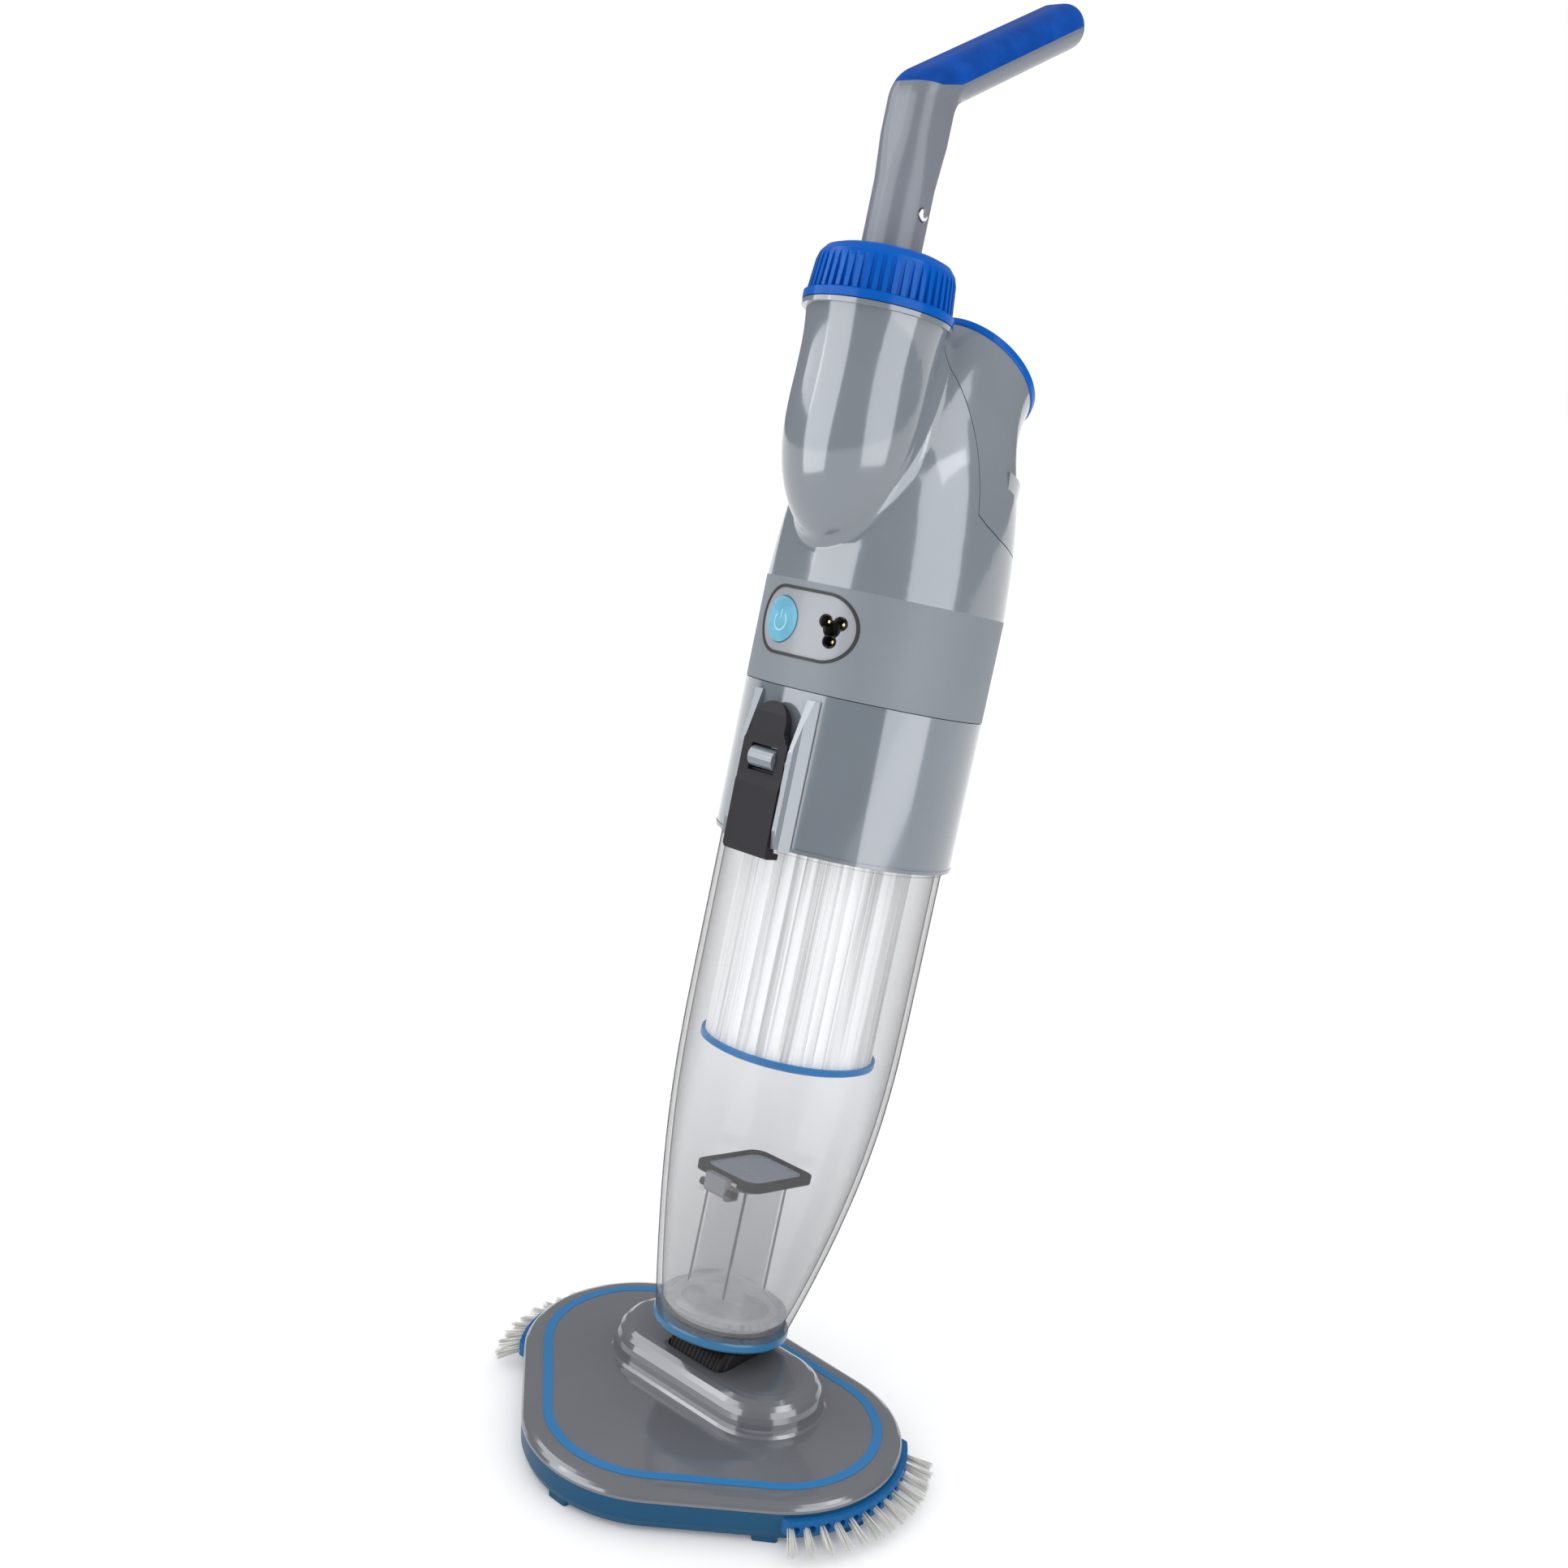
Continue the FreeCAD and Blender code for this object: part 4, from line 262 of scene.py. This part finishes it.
def ribbed(name, color, rough):
    """Black plastic with fine upright ribs, with painted shade in their grooves and painted highlights on their
    crests.
    """
    s = Shader(name)
    rib = s.add("TexWave", bands_direction="X", Scale=115.0, Distortion=0.0)
    s.link(s.coords, rib.inputs["Vector"])
    height = rib.outputs["Fac"]
    # Painted light: the rib crests are lighter and the grooves darker.
    s.feed(s.tint(height, shade(color, 0.6), shade(color, 2.4), 0.2, 0.95), "Base Color")
    s.bump(height, strength=0.5, distance=0.0006)
    s.feed(s.spread(s.noise(60.0), rough - 0.05, rough + 0.08), "Roughness")
    s.set(IOR=1.5, Specular_IOR_Level=0.08)
    return s.material


def button_face(name, color):
    """The power button's pale translucent blue, glassy on top."""
    s = Shader(name)
    drift = s.noise(120.0, 2.0)
    s.feed(s.tint(drift, shade(color, 0.9), shade(color, 1.08)), "Base Color")
    s.feed(s.spread(drift, 0.2, 0.3), "Roughness")
    s.set(Coat_Weight=0.4, Coat_Roughness=0.08, Subsurface_Weight=0.25, Subsurface_Scale=0.003)
    return s.material


GREY = (0.2, 0.228, 0.258)
MATERIALS = {
    "grey_gloss": moulded("grey_gloss", GREY, 0.13, gloss=0.5, orange=0.02, scuff=0.03, level=0.8),
    "band_grey": moulded("band_grey", GREY, 0.55, grain=0.25),
    "shell_grey": moulded("shell_grey", (0.132, 0.14, 0.158), 0.14, gloss=0.5, orange=0.03, scuff=0.03, level=0.8),
    "handle_grey": moulded("handle_grey", (0.19, 0.205, 0.24), 0.26, gloss=0.12, orange=0.03, level=0.3),
    "pale_grey": moulded("pale_grey", (0.34, 0.36, 0.39), 0.3, gloss=0.15, level=0.35),
    "black_plastic": ribbed("black_plastic", (0.011, 0.01, 0.01), 0.34),
    "charcoal": moulded("charcoal", (0.02, 0.018, 0.022), 0.42, grain=0.2, level=0.14),
    "blue_gloss": moulded("blue_gloss", (0.0, 0.105, 0.5), 0.2, gloss=0.02, orange=0.02, level=0.1),
    "stripe_blue": moulded("stripe_blue", (0.022, 0.185, 0.44), 0.42, level=0.3),
    "skirt_blue": moulded("skirt_blue", (0.012, 0.078, 0.165), 0.38, grain=0.1, level=0.16),
    "brush_blue": moulded("brush_blue", (0.007, 0.12, 0.34), 0.3, level=0.2),
    "filter_blue": moulded("filter_blue", (0.0, 0.21, 0.56), 0.35, level=0.2),
    "button_blue": button_face("button_blue", (0.17, 0.5, 0.68)),
    "pipe_grey": moulded("pipe_grey", (0.06, 0.062, 0.066), 0.45),
    "cell_wrap": moulded("cell_wrap", (0.03, 0.15, 0.09), 0.3),
    "board_green": moulded("board_green", (0.015, 0.12, 0.05), 0.35),
    "bristle": moulded("bristle", (0.7, 0.7, 0.67), 0.38, mottle=0.12),
    "grip_blue": rubber("grip_blue", (0.0, 0.062, 0.35), 0.36, level=0.07),
    "dark_rubber": rubber("dark_rubber", (0.014, 0.014, 0.014), 0.55),
    "steel": metal("steel", (0.6, 0.61, 0.62), 0.3),
    "snap_steel": metal("snap_steel", (0.8, 0.81, 0.82), 0.2),
    "motor_can": metal("motor_can", (0.5, 0.5, 0.51), 0.36),
    "contact_brass": metal("contact_brass", (0.8, 0.58, 0.22), 0.25, brushed=False),
    "clear": clear_plastic("clear", (0.34, 0.34, 0.345), face=0.04, edge=1.0, rough=0.05,
                           see_tint=(0.95, 0.951, 0.956), foot=(0.05, 0.205, 0.2)),
    "filter_cloth": pleated_cloth("filter_cloth", (0.93, 0.935, 0.935)),
}
RING_BLUE = moulded("ring_blue", (0.022, 0.16, 0.33), 0.28, gloss=0.15, level=0.35)
MARK_BLUE = moulded("mark_blue", (0.42, 0.74, 0.86), 0.3, gloss=0.2)
# The riser's glow is painted light that lifts it where the layers round it shade it.
RISER_CLEAR = clear_plastic("riser_clear", (0.55, 0.555, 0.58), face=0.02, edge=0.6, rough=0.1,
                            see_tint=(0.99, 0.99, 0.993), foot=(0.036, 0.058, 0.5), painted_glow=0.22)
# Painted shade for the riser's thick corners.
EDGE_CLEAR = clear_plastic("edge_clear", (0.2, 0.2, 0.22), face=0.6, edge=0.85, rough=0.12,
                           see_tint=(0.85, 0.85, 0.87))
FLAP_BLACK = rubber("flap_black", (0.004, 0.004, 0.004), 0.5, level=0.1)
# A darker copy of grey_gloss that paints shade on the lower housing, which is the same grey plastic.
SHADED_LOWER_GREY = moulded("shaded_lower_grey", (0.172, 0.2, 0.232), 0.13, gloss=0.5, orange=0.02, scuff=0.03, level=0.8)
MAT_GREY = pleated_cloth("mat_grey", (0.6, 0.63, 0.66))

# Nodes that look different from the rest of their slot.
SPECIAL = {
    "neck_ring": RING_BLUE, "inlet_duct": RISER_CLEAR, "flap_seal": FLAP_BLACK, "flap_pin": FLAP_BLACK,
    "lower_housing": SHADED_LOWER_GREY, "latch_pin": SHADED_LOWER_GREY, "cover_screws": MATERIALS["grey_gloss"],
}
SLOTS = {part["node"]: part["material_slot"] for part in frame["record"]["subparts"]}
for name, node in NODES.items():
    node.data.materials.clear()
    node.data.materials.append(SPECIAL.get(name) or MATERIALS[SLOTS[name]])

# ---------------------------------------------------------------- pieces

SIDE_LOBE = Vector((0.052, 0.0, 0.0115))
ROOT_REACH = 0.0664
TUFTS = 13
FIRST_TURN, LAST_TURN = -39.1, 41.4
DROOP = math.radians(19.0)
FILAMENTS = 38
TUFT_RADIUS = 0.0016
FILAMENT_RADIUS = 0.00021
TIP_SHARE = 0.75
SPLAY, SPLAY_DRIFT = 1.75, 0.12
STRAY_ACROSS, STRAY_OVER = 0.00028, 0.0002
SHORTEST, LONGEST = 0.0149, 0.0166

# Outline of the mat: radius, height along the wand, and place of its middle behind the wand's axis, in millimetres.
MAT_PROFILE = [
    (24.6, 34.4, -8.9), (33.0, 34.4, -9.1), (33.8, 35.4, -9.0),
    (34.0, 36.2, -8.9), (33.4, 36.6, -8.9), (24.6, 36.2, -8.9),
]
MAT_SIDES = 72

# The riser's walls, and the height and radius of the dark lines of painted shade along its corners, in millimetres.
RISER_HALF, RISER_FRONT, RISER_BACK = 12.9, -27.1, 5.7
RISER_LINE = [(45.5, 0.5), (46.5, 0.66), (104.0, 0.66), (104.8, 0.5)]

# The sign on the power button, in millimetres on its face.
SIGN_RADIUS, SIGN_DROP, SIGN_HALF_LINE = 4.6, 0.3, 0.45
SIGN_ARC = range(38, 323, 8)
SIGN_BAR = (1.0, 2.5, 4.0, 5.6)
SIGN_LIFT = 0.00009
RAY_FROM, MISSED_FACE = -0.09, 0.03


def piece(name, bm, material, body):
    """A new smooth mesh object that rides on a body."""
    mesh = bpy.data.meshes.new(name)
    bmesh.ops.recalc_face_normals(bm, faces=bm.faces)
    bm.to_mesh(mesh)
    bm.free()
    for face in mesh.polygons:
        face.use_smooth = True
    item = bpy.data.objects.new(name, mesh)
    bpy.context.scene.collection.objects.link(item)
    mesh.materials.append(material)
    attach(item, body)
    return item


def circle(middle, first, second, radius, count):
    """Points of a circle in the plane of two directions."""
    turns = [math.tau * k / count for k in range(count)]
    return [middle + first * (radius * math.cos(t)) + second * (radius * math.sin(t)) for t in turns]


def skin(bm, rings, closed=False):
    """Joins equal rings of points into a skin that runs back to its first ring, or else is capped at both ends."""
    loops = [[bm.verts.new(point) for point in ring] for ring in rings]
    for low, high in zip(loops, loops[1:] + loops[:1] if closed else loops[1:]):
        for k in range(len(low)):
            n = (k + 1) % len(low)
            bm.faces.new((low[k], low[n], high[n], high[k]))
    if not closed:
        bm.faces.new(loops[0])
        bm.faces.new(loops[-1][::-1])


def filament(rng, root, along, across, over):
    """Rings of one loose nylon filament, from its root in the tuft to its splayed tip."""
    angle, reach = rng.uniform(0, math.tau), TUFT_RADIUS * math.sqrt(rng.random())
    start = across * (reach * math.cos(angle)) + over * (reach * math.sin(angle))
    splay = SPLAY + rng.uniform(-SPLAY_DRIFT, SPLAY_DRIFT)
    stray = across * rng.gauss(0, STRAY_ACROSS) + over * rng.gauss(0, STRAY_OVER)
    length = rng.uniform(SHORTEST, LONGEST)
    rings = []
    for share in (0.0, 0.45, 1.0):
        middle = root + start * (1 + (splay - 1) * share ** 1.3) + stray * share + along * (length * share)
        radius = FILAMENT_RADIUS * (1.0 if share < 1 else TIP_SHARE)
        rings.append(circle(middle, across, over, radius, 4))
    return rings


def bristles(side, seed, name, node):
    """The tufts of filaments round one side lobe of the head, in place of the node's solid tufts."""
    rng = random.Random(seed)
    bm = bmesh.new()
    for k in range(TUFTS):
        turn = math.radians(FIRST_TURN + (LAST_TURN - FIRST_TURN) * k / (TUFTS - 1))
        out = Vector((math.cos(turn) * side, -math.sin(turn), 0.0))
        along = out * math.cos(DROOP) - Vector((0, 0, 1)) * math.sin(DROOP)
        across = Vector((-out.y, out.x, 0.0))
        over = along.cross(across).normalized()
        root = Vector((SIDE_LOBE.x * side, SIDE_LOBE.y, SIDE_LOBE.z)) + out * ROOT_REACH
        for _ in range(FILAMENTS):
            skin(bm, filament(rng, root, along, across, over))
    item = piece(name, bm, MATERIALS["bristle"], "head")
    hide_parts(node)


def foot_mat():
    """Thin grey mat that lies on the chamber's floor round the riser."""
    bm = bmesh.new()
    skin(bm, [circle(on_wand(0, middle, height), WAND_SIDE, WAND_BACK, radius * MM, MAT_SIDES)
              for radius, height, middle in MAT_PROFILE], closed=True)
    piece("foot_cup", bm, MAT_GREY, "wand")


def riser_edges():
    """The thick corners of the clear riser, drawn darker than its walls as lines of painted shade."""
    bm = bmesh.new()
    for x in (-RISER_HALF, RISER_HALF):
        for y in (RISER_FRONT, RISER_BACK):
            skin(bm, [circle(on_wand(x, y, height), WAND_SIDE, WAND_BACK, radius * MM, 8)
                      for height, radius in RISER_LINE])
    piece("riser_edges", bm, EDGE_CLEAR, "wand")


def power_mark():
    """An open ring and a bar in thin raised lines on the power button."""
    button = NODES["power_button"]
    low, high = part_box("power_button")
    middle = WAND.inverted() @ ((low + high) / 2)
    bm = bmesh.new()

    def on_face(u, h):
        """The place on the button's face at a distance sideways and upward from its middle."""
        start = WAND @ Vector((middle.x + u * MM, RAY_FROM, middle.z + h * MM))
        hit, spot, _, _ = button.ray_cast(start, WAND_BACK)
        return (spot if hit else start + WAND_BACK * MISSED_FACE) - WAND_BACK * SIGN_LIFT

    def line(path):
        """A flat raised line along a path of (u, h) points."""
        rows = []
        for k, (u, h) in enumerate(path):
            before, after = path[max(0, k - 1)], path[min(len(path) - 1, k + 1)]
            du, dh = after[0] - before[0], after[1] - before[1]
            scale = SIGN_HALF_LINE / math.hypot(du, dh)
            nu, nh = -dh * scale, du * scale
            rows.append([bm.verts.new(on_face(u + nu, h + nh)), bm.verts.new(on_face(u - nu, h - nh))])
        for first, second in zip(rows, rows[1:]):
            bm.faces.new((first[0], first[1], second[1], second[0]))

    turns = [math.radians(t) for t in SIGN_ARC]
    line([(SIGN_RADIUS * math.sin(t), SIGN_RADIUS * math.cos(t) - SIGN_DROP) for t in turns])
    line([(0, h) for h in SIGN_BAR])
    piece("power_mark", bm, MARK_BLUE, "power_key")


bristles(1, 7, "filaments_right", "bristles_right")
bristles(-1, 11, "filaments_left", "bristles_left")
foot_mat()
riser_edges()
power_mark()

# ---------------------------------------------------------------- floor, sky, lights and camera

FLOOR_RADIUS, FLOOR_DROP = 40.0, 0.0002
WHITE = (1.0, 1.0, 1.0)
LIT_SKY = (0.78, 0.78, 0.79), (1.2, 1.2, 1.2)
MIRRORED_SKY = (0.2, 0.21, 0.22), (0.42, 0.42, 0.43)

# Name, azimuth from the front in degrees, distance, height, width, length and watts.
SOFT_BOXES = [
    ("soft_box_right", 86.0, 1.5, 0.86, 1.35, 1.66, 23.0),
    ("soft_box_left", -20.0, 1.6, 0.86, 1.45, 1.66, 28.0),
    ("soft_box_high_left", -62.0, 1.25, 1.25, 1.0, 0.9, 8.0),
    ("soft_box_high_right", 100.0, 0.95, 1.55, 0.8, 0.8, 5.0),
]
SOFT_BOX_COLOR = (0.94, 0.965, 1.0)
SOFT_BOX_TARGET = Vector((0, 0.03, 0.38))

CAMERA_PLACE = (0.5625, -0.6103, 0.5700)
YAW, PITCH, ROLL = math.radians(41.5), math.radians(14.32), math.radians(4.33)
LENS, SENSOR, SIGHT = 39.805, 36.0, 200.0


def floor():
    """A wide white floor."""
    s = Shader("floor_paper")
    s.feed(s.tint(s.noise(30.0, 4.0), shade(WHITE, 0.935), shade(WHITE, 0.95)), "Base Color")
    s.set(Roughness=0.9, Specular_IOR_Level=0.1, Emission_Color=(*WHITE, 1.0), Emission_Strength=0.1)
    bm = bmesh.new()
    bmesh.ops.create_circle(bm, cap_ends=True, radius=FLOOR_RADIUS, segments=96)
    mesh = bpy.data.meshes.new("floor")
    bm.to_mesh(mesh)
    bm.free()
    item = bpy.data.objects.new("floor", mesh)
    bpy.context.scene.collection.objects.link(item)
    item.location.z = -FLOOR_DROP
    mesh.materials.append(s.material)


def sky():
    """An even bright sky that is white to the camera and darker in reflections."""
    world = bpy.data.worlds.new("studio")
    bpy.context.scene.world = world
    world.use_nodes = True
    nodes, links = world.node_tree.nodes, world.node_tree.links
    split = nodes.new("ShaderNodeSeparateXYZ")
    links.new(nodes.new("ShaderNodeTexCoord").outputs["Generated"], split.inputs["Vector"])
    ray = nodes.new("ShaderNodeLightPath").outputs

    def rise(horizon, zenith):
        """A colour that changes from the horizon up."""
        ramp = nodes.new("ShaderNodeValToRGB")
        low, high = ramp.color_ramp.elements
        low.position, low.color = 0.0, (*horizon, 1)
        high.position, high.color = 0.8, (*zenith, 1)
        links.new(split.outputs["Z"], ramp.inputs["Fac"])
        return ramp.outputs["Color"]

    def choose(test, plain, special):
        """One colour, or another where the test is true."""
        pick = nodes.new("ShaderNodeMix")
        pick.data_type = "RGBA"
        links.new(test, pick.inputs["Factor"])
        links.new(plain, pick.inputs["A"])
        links.new(special, pick.inputs["B"])
        return pick.outputs["Result"]

    unseen = choose(ray["Is Glossy Ray"], rise(*LIT_SKY), rise(*MIRRORED_SKY))
    links.new(choose(ray["Is Camera Ray"], unseen, rise(WHITE, WHITE)), nodes["Background"].inputs["Color"])
    nodes["Background"].inputs["Strength"].default_value = 1.0


def soft_boxes():
    """Four soft boxes that only show as gloss."""
    for name, azimuth, distance, height, width, length, watts in SOFT_BOXES:
        data = bpy.data.lights.new(name, "AREA")
        data.shape, data.size, data.size_y = "RECTANGLE", width, length
        data.energy, data.color = watts, SOFT_BOX_COLOR
        lamp = bpy.data.objects.new(name, data)
        turn = math.radians(azimuth)
        lamp.location = (distance * math.sin(turn), -distance * math.cos(turn), height)
        lamp.rotation_euler = (SOFT_BOX_TARGET - lamp.location).to_track_quat("-Z", "Y").to_euler()
        lamp.visible_diffuse = False
        lamp.visible_camera = False
        bpy.context.scene.collection.objects.link(lamp)


def camera():
    """The photograph's view: turned to the right, looking a little down, and rolled a little."""
    back = Vector((math.sin(YAW) * math.cos(PITCH), -math.cos(YAW) * math.cos(PITCH), math.sin(PITCH)))
    level = Vector((math.cos(YAW), math.sin(YAW), 0))
    upright = back.cross(level)
    right = level * math.cos(ROLL) + upright * math.sin(ROLL)
    up = upright * math.cos(ROLL) - level * math.sin(ROLL)
    data = bpy.data.cameras.new("camera")
    data.lens, data.sensor_width, data.clip_end = LENS, SENSOR, SIGHT
    item = bpy.data.objects.new("camera", data)
    item.matrix_world = Matrix.Translation(CAMERA_PLACE) @ Matrix((right, up, back)).transposed().to_4x4()
    bpy.context.scene.collection.objects.link(item)
    bpy.context.scene.camera = item


floor()
sky()
soft_boxes()
camera()
bpy.context.scene.view_settings.view_transform = "Standard"
